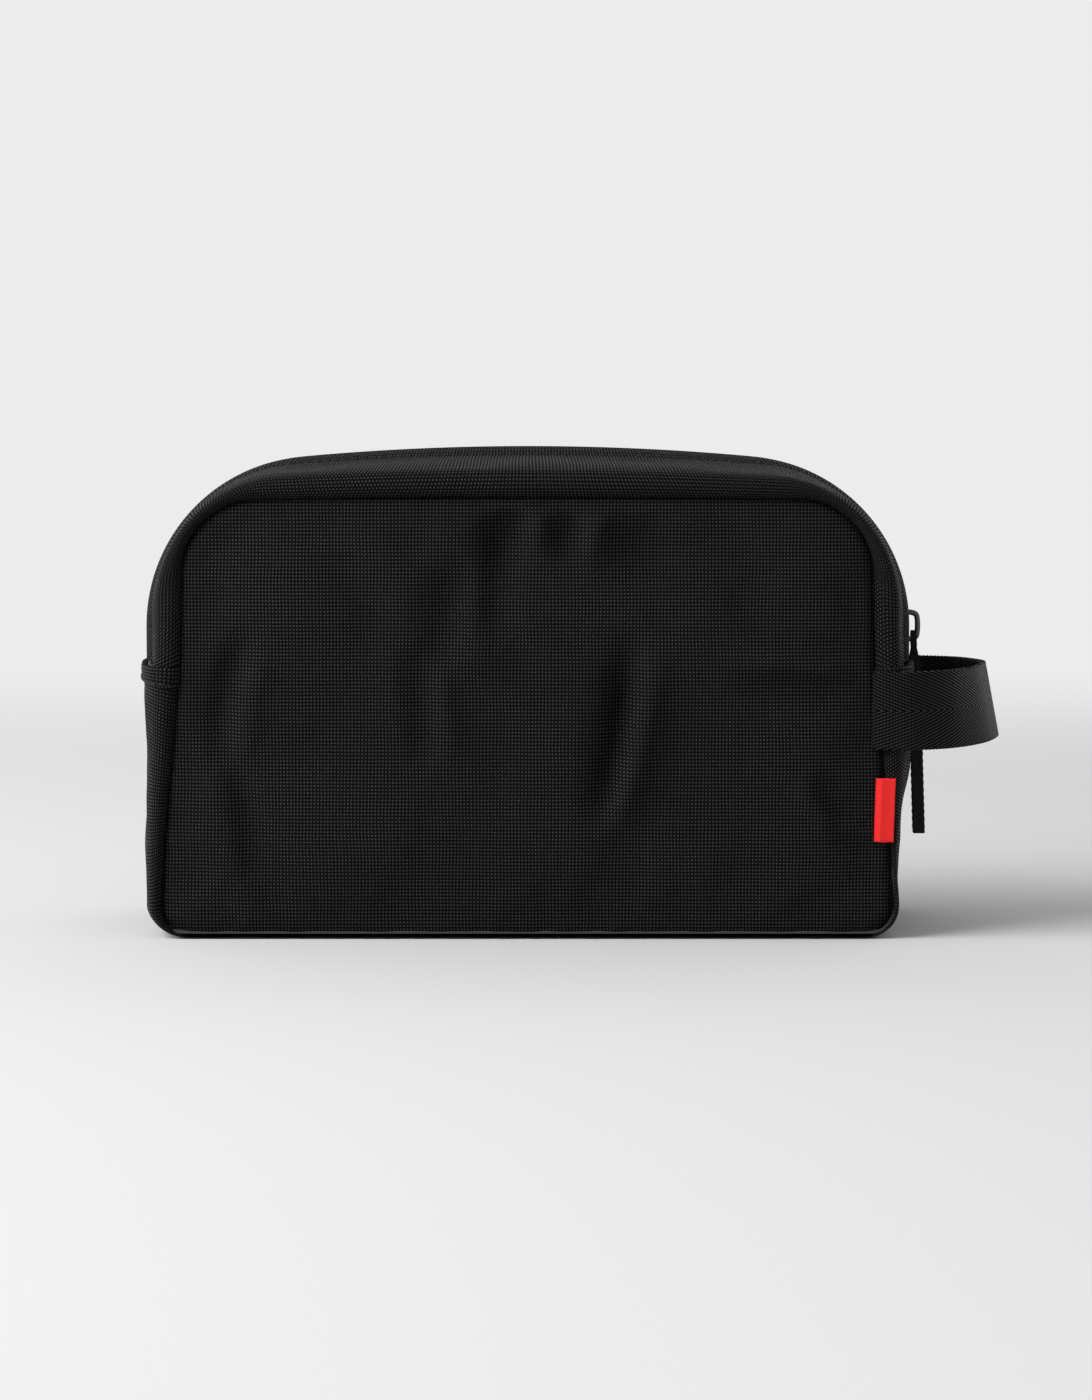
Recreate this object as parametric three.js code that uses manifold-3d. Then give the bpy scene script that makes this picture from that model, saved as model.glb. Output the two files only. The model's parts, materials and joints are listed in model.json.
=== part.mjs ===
// A black woven wash bag: front and back panels sewn into a gusset that carries a zip over the top,
// with a webbing loop and a small label in the right-hand seams.
// Millimetres. +X is the loop side, +Y is the back, +Z is up. The origin is the centre of the base.

import * as THREE from "three";
import { mergeVertices } from "three/addons/utils/BufferGeometryUtils.js";
import Module from "manifold-3d";

const wasm = await Module();
wasm.setup();

// ---------------------------------------------------------------- driving dimensions

const SEAM_Y = 40;              // front and back seams lie this far from the middle of the bag
const CREST_X = 124.3;          // outermost line of the zip gusset, on the upright sides
const CREST_TOP = 156.5;        // outermost line of the zip gusset, at the middle of the top
const SHOULDER_R = 55.5;        // the zip turns each top corner on one arc
const SHOULDER_X = CREST_X - SHOULDER_R;
const SHOULDER_Z = 97.8;
const CROWN_R = 800;            // the top is a very shallow arch
const SPLIT_Z = 87;             // the lower gusset's folded edge covers the ends of the zip gusset here
const CROWN_JOIN = 0.9;         // gap where the top of the zip gusset meets the shoulders
const CLEAR = 0.3;              // gap between pieces that touch

const SEAM_BASE_Z = 4.2;
const SEAM_TOP_Z = 141;
const SEAM_SPLIT_X = 111;
const PANEL_CROWN = 4.2;

const SHELL = 1.0;              // outer cloth
const FOAM = 1.2;               // padding
const LINING = 0.5;             // inner cloth
const LINING_EASE = 0.8;        // the lining hangs a little clear of the padding
const LINING_SHORT = 1.5;       // the zip gusset's lining stops this far inside the ends of the cloth
const ZIP_LINING_DEPTH = 2.2;
const ZIP_LINING_END = 0.7;     // share of the zip gusset's section that is lined, from the seam
const FOAM_DEPTH = SHELL + CLEAR;
const LINING_DEPTH = FOAM_DEPTH + FOAM + LINING_EASE;

const HEM_Y = 6;                // the two folded hems leave the zip showing between them
const TAPE_INNER_Y = 0.8;
const TAPE_DEPTH = 3.5;
const TAPE = 0.6;
const TAPE_OUTER_Y = 14;
const TAPE_FLAT_Y = HEM_Y + 2.5;
const TAPE_DIP = 2.2;           // its outer edge lies this much deeper, under the rising cloth
const COIL_WIDTH = 2.2;
const COIL_DEPTH = 1.7;
const COIL = 1.5;
const COIL_INNER_Y = TAPE_INNER_Y + 0.1;
const STOP_HEIGHT = 1.6;
const STOP_ROOM = STOP_HEIGHT + 3 * CLEAR;

const SLIDER_Z = SHOULDER_Z;
const SLIDER_LENGTH = 11;
const SLIDER_WIDTH = 8.4;
const SLIDER_PLATE = 1.0;
const SLIDER_TOP_DEPTH = 1.2;   // underside of the slider's upper plate, below the gusset's crest
const SLIDER_LOW_DEPTH = 4.7;   // upper side of its lower plate
const SLIDER_TAIL = 0.78;       // width of the slider's tail as a share of its nose
const POST_HALF = 0.45;
const POST_FROM = 0.8;
const POST_TO = 4.6;
const BRIDGE_LENGTH = 10.5;
const BRIDGE_RISE = 4.0;
const BRIDGE_WIRE = 1.8;

const PULL_WIDTH = 3.6;
const PULL_THICK = 2.4;
const PULL_BOTTOM_Z = 29;
const PULL_TOP_Z = 91.5;
const PULL_X = 125.7;
const PULL_LEAN = 0.9;
const PULL_FOLD = 1.0;          // one thickness of the folded tape
const EYE_BASE = 3.6;           // the eye in the fold, from the foot of the loop
const EYE_TOP = 7;
const EYE_DROP = 3;             // the foot of the loop, below the top of the blade
const EYE_OUT = 0.7;            // and out from the crest
const EYE_PLAY = 0.4;
const EYE_ROUND = 0.8;
const EYE_SHOULDER = 0.5;
const BLADE_TAPER = 4;          // the blade narrows over this height to meet the loop
const BLADE_IN = 0.5;
const BLADE_OUT = 1.0;

const WEB_WIDTH = 25;
const WEB_THICK = 1.6;
const WEB_MID_Z = 73;
const WEB_SEAM_X = 112;
const WEB_STUB = 3.4;           // the sewn ends stand out this far before the loop can swing
const WEB_END_Y = 43.2;
const WEB_STUB_Y = 43;
const WEB_TUCK = 0.6;           // the sewn ends reach this far into the seam
const WEB_REACH_X = 150.6;
const WEB_LEAN = 4;             // the loop's lower edge leans out this much further at its far end

const LABEL_X = 111.4;
const LABEL_WIDTH = 5.9;
const LABEL_LOW_Z = 31;
const LABEL_HEIGHT = 20.5;
const LABEL_THICK = 0.8;
const LABEL_Y = -42.6;

const BINDING_INSET = 4;
const BINDING_WIDTH = 4;
const BINDING_THICK = 1.6;

const POCKET_WIDTH = 160;
const POCKET_HEIGHT = 70;
const POCKET_Y = 33;
const POCKET_MID_Z = 50;

// ---------------------------------------------------------------- materials

const MATERIALS = {
  cloth: { color: 0x1b1b1c, roughness: 0.72, metalness: 0 },
  foam: { color: 0x3b3b3d, roughness: 0.95, metalness: 0 },
  lining: { color: 0x232325, roughness: 0.6, metalness: 0 },
  binding: { color: 0x161617, roughness: 0.8, metalness: 0 },
  webbing: { color: 0x151516, roughness: 0.65, metalness: 0 },
  tape: { color: 0x121213, roughness: 0.8, metalness: 0 },
  coil: { color: 0x101011, roughness: 0.4, metalness: 0 },
  metal: { color: 0x6f6a66, roughness: 0.38, metalness: 0.9 },
  label: { color: 0xeb2d28, roughness: 0.6, metalness: 0 },
};

const bag = new THREE.Group();

function addPiece(name, materialName, geometry) {
  const mesh = new THREE.Mesh(geometry, new THREE.MeshStandardMaterial(MATERIALS[materialName]));
  mesh.name = name;
  bag.add(mesh);
  return mesh;
}

// ---------------------------------------------------------------- outlines in the X-Z plane

const v2 = (x, z) => new THREE.Vector2(x, z);
const degrees = (angle) => THREE.MathUtils.degToRad(angle);

function arc(x, z, rx, rz, from, to) {
  return new THREE.EllipseCurve(x, z, rx, rz, degrees(from), degrees(to), false, 0);
}

// Where the shoulder's arc meets the crown's, both circles have the same slope.
const CROWN_TURN = THREE.MathUtils.radToDeg(Math.acos(SHOULDER_X / (CROWN_R - SHOULDER_R)));
const CROWN_GAP = THREE.MathUtils.radToDeg(CROWN_JOIN / CROWN_R);

// One half of the bag, from the middle of the base round to the middle of the top. In each stretch
// "seam" is the line at y = +-SEAM_Y and "crest" is the gusset's outermost line between the seams.
const STRETCHES = {
  base: {
    seam: new THREE.LineCurve(v2(0, SEAM_BASE_Z), v2(105, SEAM_BASE_Z)),
    crest: new THREE.LineCurve(v2(0, -2), v2(108, -2)),
    steps: 3,
  },
  heel: {
    seam: arc(105, 13, 10, 10, -90, 0),
    crest: arc(108, 12, 13.5, 14, -90, 0),
    steps: 4,
  },
  side: {
    seam: new THREE.LineCurve(v2(115, 13), v2(SEAM_SPLIT_X, SPLIT_Z - CLEAR)),
    crest: new THREE.QuadraticBezierCurve(v2(121.5, 12), v2(121.3, 48), v2(125, SPLIT_Z - CLEAR)),
    steps: 5,
  },
  leg: {
    seam: new THREE.LineCurve(v2(SEAM_SPLIT_X, SPLIT_Z + CLEAR), v2(110, 116)),
    crest: new THREE.LineCurve(v2(CREST_X, SPLIT_Z + CLEAR), v2(CREST_X, SHOULDER_Z)),
    steps: 1,
  },
  shoulder: {
    seam: arc(86, 116, 24, 24, 0, 87),
    crest: arc(SHOULDER_X, SHOULDER_Z, SHOULDER_R, SHOULDER_R, 0, CROWN_TURN),
    steps: 10,
  },
  crown: {
    seam: new THREE.QuadraticBezierCurve(v2(87.2 - CROWN_JOIN, 139.98), v2(45, SEAM_TOP_Z), v2(0, SEAM_TOP_Z)),
    crest: arc(0, CREST_TOP - CROWN_R, CROWN_R, CROWN_R, CROWN_TURN + CROWN_GAP, 90),
    steps: 4,
  },
};

function halfRun(names) {
  const run = [];
  for (const name of names) {
    const { seam, crest, steps } = STRETCHES[name];
    for (let i = run.length ? 1 : 0; i <= steps; i += 1) {
      const tangent = crest.getTangent(i / steps);
      run.push({
        seam: seam.getPoint(i / steps),
        crest: crest.getPoint(i / steps),
        out: v2(tangent.y, -tangent.x),
      });
    }
  }
  return run;
}

function mirrorRun(run) {
  const flip = (p) => v2(-p.x, p.y);
  return run.map((at) => ({ seam: flip(at.seam), crest: flip(at.crest), out: flip(at.out) })).reverse();
}

const lowerHalf = halfRun(["base", "heel", "side"]);
const crownHalf = halfRun(["crown"]);
const lowerRun = [...mirrorRun(lowerHalf), ...lowerHalf.slice(1)];
const rightRun = halfRun(["leg", "shoulder"]);
const leftRun = mirrorRun(rightRun);
const crownRun = [...crownHalf, ...mirrorRun(crownHalf).slice(1)];
const halfOutline = halfRun(["base", "heel", "side", "shoulder", "crown"]).map((at) => at.seam);

// ---------------------------------------------------------------- closed sheets

// A sheet of cloth as one closed solid: its outer face, its inner face, and a strip round the edge.
function sheetGeometry(outer, inner) {
  const rows = outer.length;
  const columns = outer[0].length;
  const position = [...outer, ...inner].flat().flatMap((p) => [p.x, p.y, p.z]);
  const index = [];
  const at = (layer, i, j) => (layer * rows + i) * columns + j;
  const quad = (a, b, c, d) => index.push(a, b, c, a, c, d);
  for (let i = 0; i < rows - 1; i += 1) {
    for (let j = 0; j < columns - 1; j += 1) {
      quad(at(0, i, j), at(0, i + 1, j), at(0, i + 1, j + 1), at(0, i, j + 1));
      quad(at(1, i, j), at(1, i, j + 1), at(1, i + 1, j + 1), at(1, i + 1, j));
    }
  }
  for (let i = 0; i < rows - 1; i += 1) {
    const last = columns - 1;
    quad(at(0, i, 0), at(1, i, 0), at(1, i + 1, 0), at(0, i + 1, 0));
    quad(at(0, i + 1, last), at(1, i + 1, last), at(1, i, last), at(0, i, last));
  }
  for (let j = 0; j < columns - 1; j += 1) {
    const last = rows - 1;
    quad(at(0, 0, j + 1), at(1, 0, j + 1), at(1, 0, j), at(0, 0, j));
    quad(at(0, last, j), at(1, last, j), at(1, last, j + 1), at(0, last, j + 1));
  }
  return facingOut(indexedGeometry(position, index));
}

function indexedGeometry(position, index) {
  const geometry = new THREE.BufferGeometry();
  geometry.setAttribute("position", new THREE.Float32BufferAttribute(position, 3));
  geometry.setIndex(index);
  return geometry;
}

function signedVolume(geometry) {
  const { position } = geometry.attributes;
  const { array } = geometry.index;
  const [a, b, c] = [new THREE.Vector3(), new THREE.Vector3(), new THREE.Vector3()];
  let sum = 0;
  for (let i = 0; i < array.length; i += 3) {
    a.fromBufferAttribute(position, array[i]);
    b.fromBufferAttribute(position, array[i + 1]);
    c.fromBufferAttribute(position, array[i + 2]);
    sum += a.dot(b.cross(c));
  }
  return sum / 6;
}

function facingOut(geometry) {
  if (signedVolume(geometry) < 0) {
    geometry.index.array.reverse();
  }
  return geometry;
}

// ---------------------------------------------------------------- gusset sections

// Half a gusset's section: x is how far it has come from the seam (0) to the crest (1), y is depth
// across the bag. It rolls forward over the seam, then runs back to the crest.
const ZIP_SECTION = new THREE.SplineCurve([
  v2(0, SEAM_Y), v2(0.24, 41.6), v2(0.5, 40.4), v2(0.68, 30), v2(0.8, 15), v2(1, HEM_Y),
]);
const LOWER_SECTION = new THREE.SplineCurve([
  v2(0, SEAM_Y), v2(0.24, 41.6), v2(0.5, 40.4), v2(0.78, 30), v2(0.95, 14), v2(1, 0),
]);

// A point of the gusset: side is -1 at the front and +1 at the back, depth is measured into the wall,
// which faces front or back at the seam and outwards at the crest.
function gussetPoint(at, section, t, side, depth) {
  const here = section.getPoint(t);
  const lift = here.x;
  const face = 1 - here.x ** 2;
  const ground = at.seam.clone().lerp(at.crest, here.x).addScaledVector(at.out, -lift * depth);
  return new THREE.Vector3(ground.x, side * (here.y - face * depth), Math.max(ground.y, depth));
}

function gussetRows(run, section, steps, sides, depth, from, to) {
  return run.map((at) => {
    const row = [];
    for (const side of sides) {
      for (let i = 0; i <= steps; i += 1) {
        const along = side === sides[0] ? i / steps : 1 - i / steps;
        const t = from + (to - from) * along;
        row.push(gussetPoint(at, section, t, side, depth));
      }
    }
    return sides.length > 1 ? row.filter((point, i) => i !== steps) : row;
  });
}

function gussetSheet(run, section, steps, sides, depth, thick, from = 0, to = 1) {
  return sheetGeometry(
    gussetRows(run, section, steps, sides, depth, from, to),
    gussetRows(run, section, steps, sides, depth + thick, from, to),
  );
}

// ---------------------------------------------------------------- panels

function insetOutline(inset) {
  const right = halfOutline.map((point, i) => {
    const before = halfOutline[Math.max(i - 1, 0)];
    const after = halfOutline[Math.min(i + 1, halfOutline.length - 1)];
    const run = after.clone().sub(before).normalize();
    if (i === 0) {
      run.set(1, 0);
    }
    if (i === halfOutline.length - 1) {
      run.set(-1, 0);
    }
    return v2(point.x - run.y * inset, point.y + run.x * inset);
  });
  const left = right.slice(1, -1).map((point) => v2(-point.x, point.y)).reverse();
  return [...right, ...left];
}

// A crowned panel: rings that shrink towards a middle point, on an outer and an inner face.
function panelGeometry(side, depth, thick, inset) {
  const rim = insetOutline(inset);
  const middle = v2(0, (SEAM_BASE_Z + SEAM_TOP_Z) / 2);
  const rings = [1, 0.9, 0.6];
  const position = [];
  const index = [];
  for (const layer of [depth, depth + thick]) {
    for (const scale of rings) {
      const y = side * (SEAM_Y + PANEL_CROWN * (1 - scale ** 3) - layer);
      for (const point of rim) {
        const at = middle.clone().lerp(point, scale);
        position.push(at.x, y, at.y);
      }
    }
    position.push(middle.x, side * (SEAM_Y + PANEL_CROWN - layer), middle.y);
  }
  const perLayer = rings.length * rim.length + 1;
  const at = (layer, ring, i) => layer * perLayer + ring * rim.length + (i % rim.length);
  const quad = (a, b, c, d) => index.push(a, b, c, a, c, d);
  for (let i = 0; i < rim.length; i += 1) {
    for (let ring = 0; ring < rings.length - 1; ring += 1) {
      quad(at(0, ring, i), at(0, ring, i + 1), at(0, ring + 1, i + 1), at(0, ring + 1, i));
      quad(at(1, ring, i), at(1, ring + 1, i), at(1, ring + 1, i + 1), at(1, ring, i + 1));
    }
    const last = rings.length - 1;
    index.push(at(0, last, i), at(0, last, i + 1), perLayer - 1);
    index.push(at(1, last, i + 1), at(1, last, i), 2 * perLayer - 1);
    quad(at(0, 0, i + 1), at(0, 0, i), at(1, 0, i), at(1, 0, i + 1));
  }
  return facingOut(indexedGeometry(position, index));
}

const SIDES = [
  { word: "front", sign: -1 },
  { word: "back", sign: 1 },
];

for (const { word, sign } of SIDES) {
  addPiece(`${word}_panel`, "cloth", panelGeometry(sign, 0, SHELL, 0.4));
  addPiece(`${word}_panel_foam`, "foam", panelGeometry(sign, FOAM_DEPTH, FOAM, 2));
  addPiece(`${word}_panel_lining`, "lining", panelGeometry(sign, LINING_DEPTH, LINING, 3));
}

// ---------------------------------------------------------------- lower gusset

const BOTH = [-1, 1];
// The inner layers start one step in from each seam, on the same lines as the cloth, so that they nest.
const LOWER_STEPS = 4;
const INNER_START = 1 / LOWER_STEPS;

function lowerLayer(name, materialName, depth, thick, from) {
  const steps = Math.round(LOWER_STEPS * (1 - from));
  addPiece(name, materialName, gussetSheet(lowerRun, LOWER_SECTION, steps, BOTH, depth, thick, from));
}

lowerLayer("lower_gusset", "cloth", 0, SHELL, 0);
lowerLayer("lower_gusset_foam", "foam", FOAM_DEPTH, FOAM, INNER_START);
lowerLayer("lower_gusset_lining", "lining", LINING_DEPTH, LINING, INNER_START);

// ---------------------------------------------------------------- zip gusset

const ZIP_RUNS = [
  { word: "right", run: rightRun },
  { word: "top", run: crownRun },
  { word: "left", run: leftRun },
];

// The same run with both of its ends pulled in, so that a layer stops short of its neighbours.
function shortened(run, length) {
  const pulled = (end, next) => {
    const share = length / end.crest.distanceTo(next.crest);
    return { ...end, seam: end.seam.clone().lerp(next.seam, share), crest: end.crest.clone().lerp(next.crest, share) };
  };
  return [pulled(run[0], run[1]), ...run.slice(1, -1), pulled(run.at(-1), run.at(-2))];
}

function bandRows(run, points) {
  return run.map((at) => points.map(([y, depth]) => {
    const ground = at.crest.clone().addScaledVector(at.out, -depth);
    return new THREE.Vector3(ground.x, y, ground.y);
  }));
}

// The zip tape lies flat under the hem, then dips to stay below the cloth.
function tapeGeometry(run, sign) {
  const line = [[TAPE_OUTER_Y, TAPE_DEPTH + TAPE_DIP], [TAPE_FLAT_Y, TAPE_DEPTH], [TAPE_INNER_Y, TAPE_DEPTH]];
  const upper = line.map(([y, depth]) => [sign * y, depth]);
  const lower = line.map(([y, depth]) => [sign * y, depth + TAPE]);
  return sheetGeometry(bandRows(run, upper), bandRows(run, lower));
}

// The coil starts above the metal stop that closes the end of the zip.
function aboveStop(run) {
  return run.map((at) => (at.crest.y > SPLIT_Z + 1 ? at : { ...at, crest: v2(at.crest.x, SPLIT_Z + STOP_ROOM) }));
}

function coilGeometry(run, sign) {
  const edges = [COIL_INNER_Y, COIL_INNER_Y + COIL_WIDTH];
  const upper = edges.map((y) => [sign * y, COIL_DEPTH]);
  const lower = edges.map((y) => [sign * y, COIL_DEPTH + COIL]);
  return sheetGeometry(bandRows(run, upper), bandRows(run, lower));
}

for (const { word, run } of ZIP_RUNS) {
  for (const half of SIDES) {
    const name = `${half.word}_zip`;
    addPiece(`${name}_gusset_${word}`, "cloth", gussetSheet(run, ZIP_SECTION, 5, [half.sign], 0, SHELL));
    const inner = shortened(run, LINING_SHORT);
    addPiece(
      `${name}_lining_${word}`,
      "lining",
      gussetSheet(inner, ZIP_SECTION, 3, [half.sign], ZIP_LINING_DEPTH, LINING, 0, ZIP_LINING_END),
    );
    addPiece(`${name}_tape_${word}`, "tape", tapeGeometry(run, half.sign));
    addPiece(`${name}_coil_${word}`, "coil", coilGeometry(aboveStop(run), half.sign));
  }
}

// ---------------------------------------------------------------- booleans and extrusions

function solid(geometry) {
  const bare = geometry.clone();
  bare.deleteAttribute("normal");
  bare.deleteAttribute("uv");
  const merged = mergeVertices(bare, 1e-4);
  return new wasm.Manifold(new wasm.Mesh({
    numProp: 3,
    vertProperties: merged.attributes.position.array,
    triVerts: merged.index.array,
  }));
}

function fromSolid(manifold) {
  const mesh = manifold.getMesh();
  return indexedGeometry(Array.from(mesh.vertProperties), Array.from(mesh.triVerts));
}

function extrude(shape, depth, curveSegments = 6) {
  return new THREE.ExtrudeGeometry(shape, { depth, bevelEnabled: false, curveSegments, steps: 1 });
}

// ---------------------------------------------------------------- slider

// Slider pieces are drawn with x along the zip and y across it, then stood against the bag's side.
function standAtSide(geometry) {
  const basis = new THREE.Matrix4().makeBasis(
    new THREE.Vector3(0, 0, 1),
    new THREE.Vector3(0, 1, 0),
    new THREE.Vector3(-1, 0, 0),
  );
  return geometry.applyMatrix4(basis).translate(CREST_X, 0, SLIDER_Z);
}

// Plates are wide at the nose, where two tapes part, and narrow at the tail. Depth runs into the bag.
function sliderPlate(depth) {
  const nose = SLIDER_WIDTH / 2;
  const tail = nose * SLIDER_TAIL;
  const end = SLIDER_LENGTH / 2;
  const shape = new THREE.Shape();
  shape.moveTo(-end, -tail + 1);
  shape.quadraticCurveTo(-end, -tail, -end + 1, -tail);
  shape.lineTo(end - 3, -nose);
  shape.quadraticCurveTo(end, -nose, end, 0);
  shape.quadraticCurveTo(end, nose, end - 3, nose);
  shape.lineTo(-end + 1, tail);
  shape.quadraticCurveTo(-end, tail, -end, tail - 1);
  shape.closePath();
  return solid(standAtSide(extrude(shape, SLIDER_PLATE, 3).translate(0, 0, depth)));
}

const postShape = new THREE.Shape();
postShape.moveTo(POST_FROM, -POST_HALF);
postShape.lineTo(POST_TO, -POST_HALF);
postShape.lineTo(POST_TO, POST_HALF);
postShape.lineTo(POST_FROM, POST_HALF);
postShape.closePath();
const postDepth = SLIDER_LOW_DEPTH - SLIDER_TOP_DEPTH + SLIDER_PLATE;
const sliderPost = solid(standAtSide(
  extrude(postShape, postDepth).translate(0, 0, SLIDER_TOP_DEPTH - SLIDER_PLATE / 2),
));
const sliderBody = sliderPlate(SLIDER_TOP_DEPTH - SLIDER_PLATE).add(sliderPlate(SLIDER_LOW_DEPTH)).add(sliderPost);
addPiece("slider_body", "metal", fromSolid(sliderBody));

// The bridge is half an oval of flat wire standing on the upper plate.
function bridgeShape() {
  const end = BRIDGE_LENGTH / 2;
  const shape = new THREE.Shape();
  shape.absellipse(0, 0, end, BRIDGE_RISE, 0, Math.PI, false, 0);
  shape.lineTo(-end + BRIDGE_WIRE, 0);
  shape.absellipse(0, 0, end - BRIDGE_WIRE, BRIDGE_RISE - BRIDGE_WIRE, Math.PI, 0, true, 0);
  shape.closePath();
  return shape;
}

const bridge = extrude(bridgeShape(), BRIDGE_WIRE, 8).translate(0, 0, -BRIDGE_WIRE / 2);
bridge.applyMatrix4(new THREE.Matrix4().makeBasis(
  new THREE.Vector3(0, 0, 1),
  new THREE.Vector3(1, 0, 0),
  new THREE.Vector3(0, 1, 0),
));
bridge.translate(CREST_X - SLIDER_TOP_DEPTH + SLIDER_PLATE + CLEAR, 0, SLIDER_Z);
addPiece("slider_bridge", "metal", bridge);

// ---------------------------------------------------------------- zip pull

// The folded tape straddles the foot of the bridge and hangs in front of the gusset.
function pullLoop() {
  const inner = BRIDGE_WIRE / 2 + EYE_PLAY;
  const outer = inner + PULL_FOLD;
  const top = EYE_TOP + PULL_FOLD;
  const round = EYE_ROUND;
  const shoulder = EYE_BASE + EYE_SHOULDER;
  const shape = new THREE.Shape();
  shape.moveTo(-PULL_THICK / 2, 0);
  shape.lineTo(PULL_THICK / 2, 0);
  shape.lineTo(outer, shoulder);
  shape.lineTo(outer, top - round);
  shape.quadraticCurveTo(outer, top, outer - round, top);
  shape.lineTo(-outer + round, top);
  shape.quadraticCurveTo(-outer, top, -outer, top - round);
  shape.lineTo(-outer, shoulder);
  shape.closePath();
  const eye = new THREE.Path();
  eye.moveTo(-inner, EYE_BASE);
  eye.lineTo(-inner, EYE_TOP);
  eye.lineTo(inner, EYE_TOP);
  eye.lineTo(inner, EYE_BASE);
  eye.closePath();
  shape.holes.push(eye);
  const loop = extrude(shape, PULL_FOLD, 2);
  loop.applyMatrix4(new THREE.Matrix4().makeBasis(
    new THREE.Vector3(0, 1, 0),
    new THREE.Vector3(0, 0, 1),
    new THREE.Vector3(1, 0, 0),
  ));
  return solid(loop.translate(CREST_X + EYE_OUT, 0, PULL_TOP_Z - EYE_DROP));
}

function pullBlade() {
  const shape = new THREE.Shape();
  shape.moveTo(PULL_X + PULL_LEAN, PULL_BOTTOM_Z);
  shape.lineTo(PULL_X + PULL_LEAN + PULL_WIDTH, PULL_BOTTOM_Z);
  shape.lineTo(PULL_X + PULL_WIDTH, PULL_TOP_Z - BLADE_TAPER);
  shape.lineTo(PULL_X + BLADE_OUT, PULL_TOP_Z);
  shape.lineTo(PULL_X - BLADE_IN, PULL_TOP_Z);
  shape.lineTo(PULL_X, PULL_TOP_Z - BLADE_TAPER);
  shape.closePath();
  const blade = extrude(shape, PULL_THICK).translate(0, 0, -PULL_THICK / 2);
  return solid(blade.rotateX(Math.PI / 2));
}

addPiece("zip_pull", "tape", fromSolid(pullLoop().add(pullBlade())));

// ---------------------------------------------------------------- zip end stops

for (const [word, sign] of [["right", 1], ["left", -1]]) {
  const stop = new THREE.BoxGeometry(COIL, 2 * (TAPE_INNER_Y + COIL_WIDTH), STOP_HEIGHT);
  stop.translate(sign * (CREST_X - COIL_DEPTH - COIL / 2), 0, SPLIT_Z + 2 * CLEAR + STOP_HEIGHT / 2);
  addPiece(`zip_stop_${word}`, "metal", stop);
}

// ---------------------------------------------------------------- webbing loop

const WEB_PATH = new THREE.CatmullRomCurve3([
  new THREE.Vector3(WEB_SEAM_X + WEB_STUB + CLEAR, -WEB_END_Y, 0),
  new THREE.Vector3(123.4, -42.8, 0),
  new THREE.Vector3(134.6, -33, 0),
  new THREE.Vector3(144.6, -12.5, 0),
  new THREE.Vector3(WEB_REACH_X, 9, 0),
  new THREE.Vector3(149.6, 22, 0),
  new THREE.Vector3(143, 36, 0),
  new THREE.Vector3(130, WEB_END_Y, 0),
  new THREE.Vector3(WEB_SEAM_X + WEB_STUB + CLEAR, WEB_END_Y, 0),
]);

function loopGeometry() {
  const steps = 18;
  const inside = [];
  const outside = [];
  for (let i = 0; i <= steps; i += 1) {
    const point = WEB_PATH.getPoint(i / steps);
    const run = WEB_PATH.getTangent(i / steps);
    const offset = new THREE.Vector3(run.y, -run.x, 0).multiplyScalar(WEB_THICK / 2);
    outside.push(point.clone().add(offset));
    inside.push(point.clone().sub(offset));
  }
  const span = WEB_REACH_X - WEB_SEAM_X;
  const edge = (points, up) => points.map((point) => {
    const lean = up > 0 ? 0 : (WEB_LEAN * Math.max(0, point.x - WEB_SEAM_X - WEB_STUB)) / span;
    return new THREE.Vector3(point.x + lean, point.y, WEB_MID_Z + (up * WEB_WIDTH) / 2);
  });
  const outer = [edge(outside, 1), edge(outside, -1)];
  const inner = [edge(inside, 1), edge(inside, -1)];
  return sheetGeometry(outer, inner);
}

addPiece("handle_loop", "webbing", loopGeometry());

// Each sewn end is a wedge, so the loop's straight-cut end can turn a little either way beside it.
for (const { word, sign } of SIDES) {
  const shape = new THREE.Shape();
  shape.moveTo(WEB_SEAM_X - WEB_TUCK, WEB_MID_Z - WEB_WIDTH / 2);
  shape.lineTo(WEB_SEAM_X, WEB_MID_Z - WEB_WIDTH / 2);
  shape.lineTo(WEB_SEAM_X + WEB_STUB, WEB_MID_Z);
  shape.lineTo(WEB_SEAM_X, WEB_MID_Z + WEB_WIDTH / 2);
  shape.lineTo(WEB_SEAM_X - WEB_TUCK, WEB_MID_Z + WEB_WIDTH / 2);
  shape.closePath();
  const wedge = extrude(shape, WEB_THICK).translate(0, 0, -WEB_THICK / 2).rotateX(Math.PI / 2);
  addPiece(`handle_end_${word}`, "webbing", wedge.translate(0, sign * WEB_STUB_Y, 0));
}

// ---------------------------------------------------------------- label and inner pieces

const label = new THREE.BoxGeometry(LABEL_WIDTH, LABEL_THICK, LABEL_HEIGHT);
label.translate(LABEL_X + LABEL_WIDTH / 2, LABEL_Y, LABEL_LOW_Z + LABEL_HEIGHT / 2);
addPiece("seam_label", "label", label);

for (const { word, sign } of SIDES) {
  const ring = new THREE.Shape(insetOutline(BINDING_INSET));
  ring.holes.push(new THREE.Path(insetOutline(BINDING_INSET + BINDING_WIDTH).reverse()));
  const geometry = extrude(ring, BINDING_THICK).rotateX(Math.PI / 2);
  const face = SEAM_Y - LINING_DEPTH - LINING - CLEAR;
  geometry.translate(0, sign > 0 ? face : -face + BINDING_THICK, 0);
  addPiece(`seam_binding_${word}`, "binding", geometry);
}

const pocket = new THREE.BoxGeometry(POCKET_WIDTH, LINING, POCKET_HEIGHT);
pocket.translate(0, POCKET_Y, POCKET_MID_Z);
addPiece("slip_pocket", "lining", pocket);

export default bag;
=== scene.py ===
"""Looks for the black woven wash bag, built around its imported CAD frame.

Shapes are worked out in millimetres and become metres when a mesh is made.
+X is the webbing-loop side, -Y is the front, +Z is up.
"""

import json
import math

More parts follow.
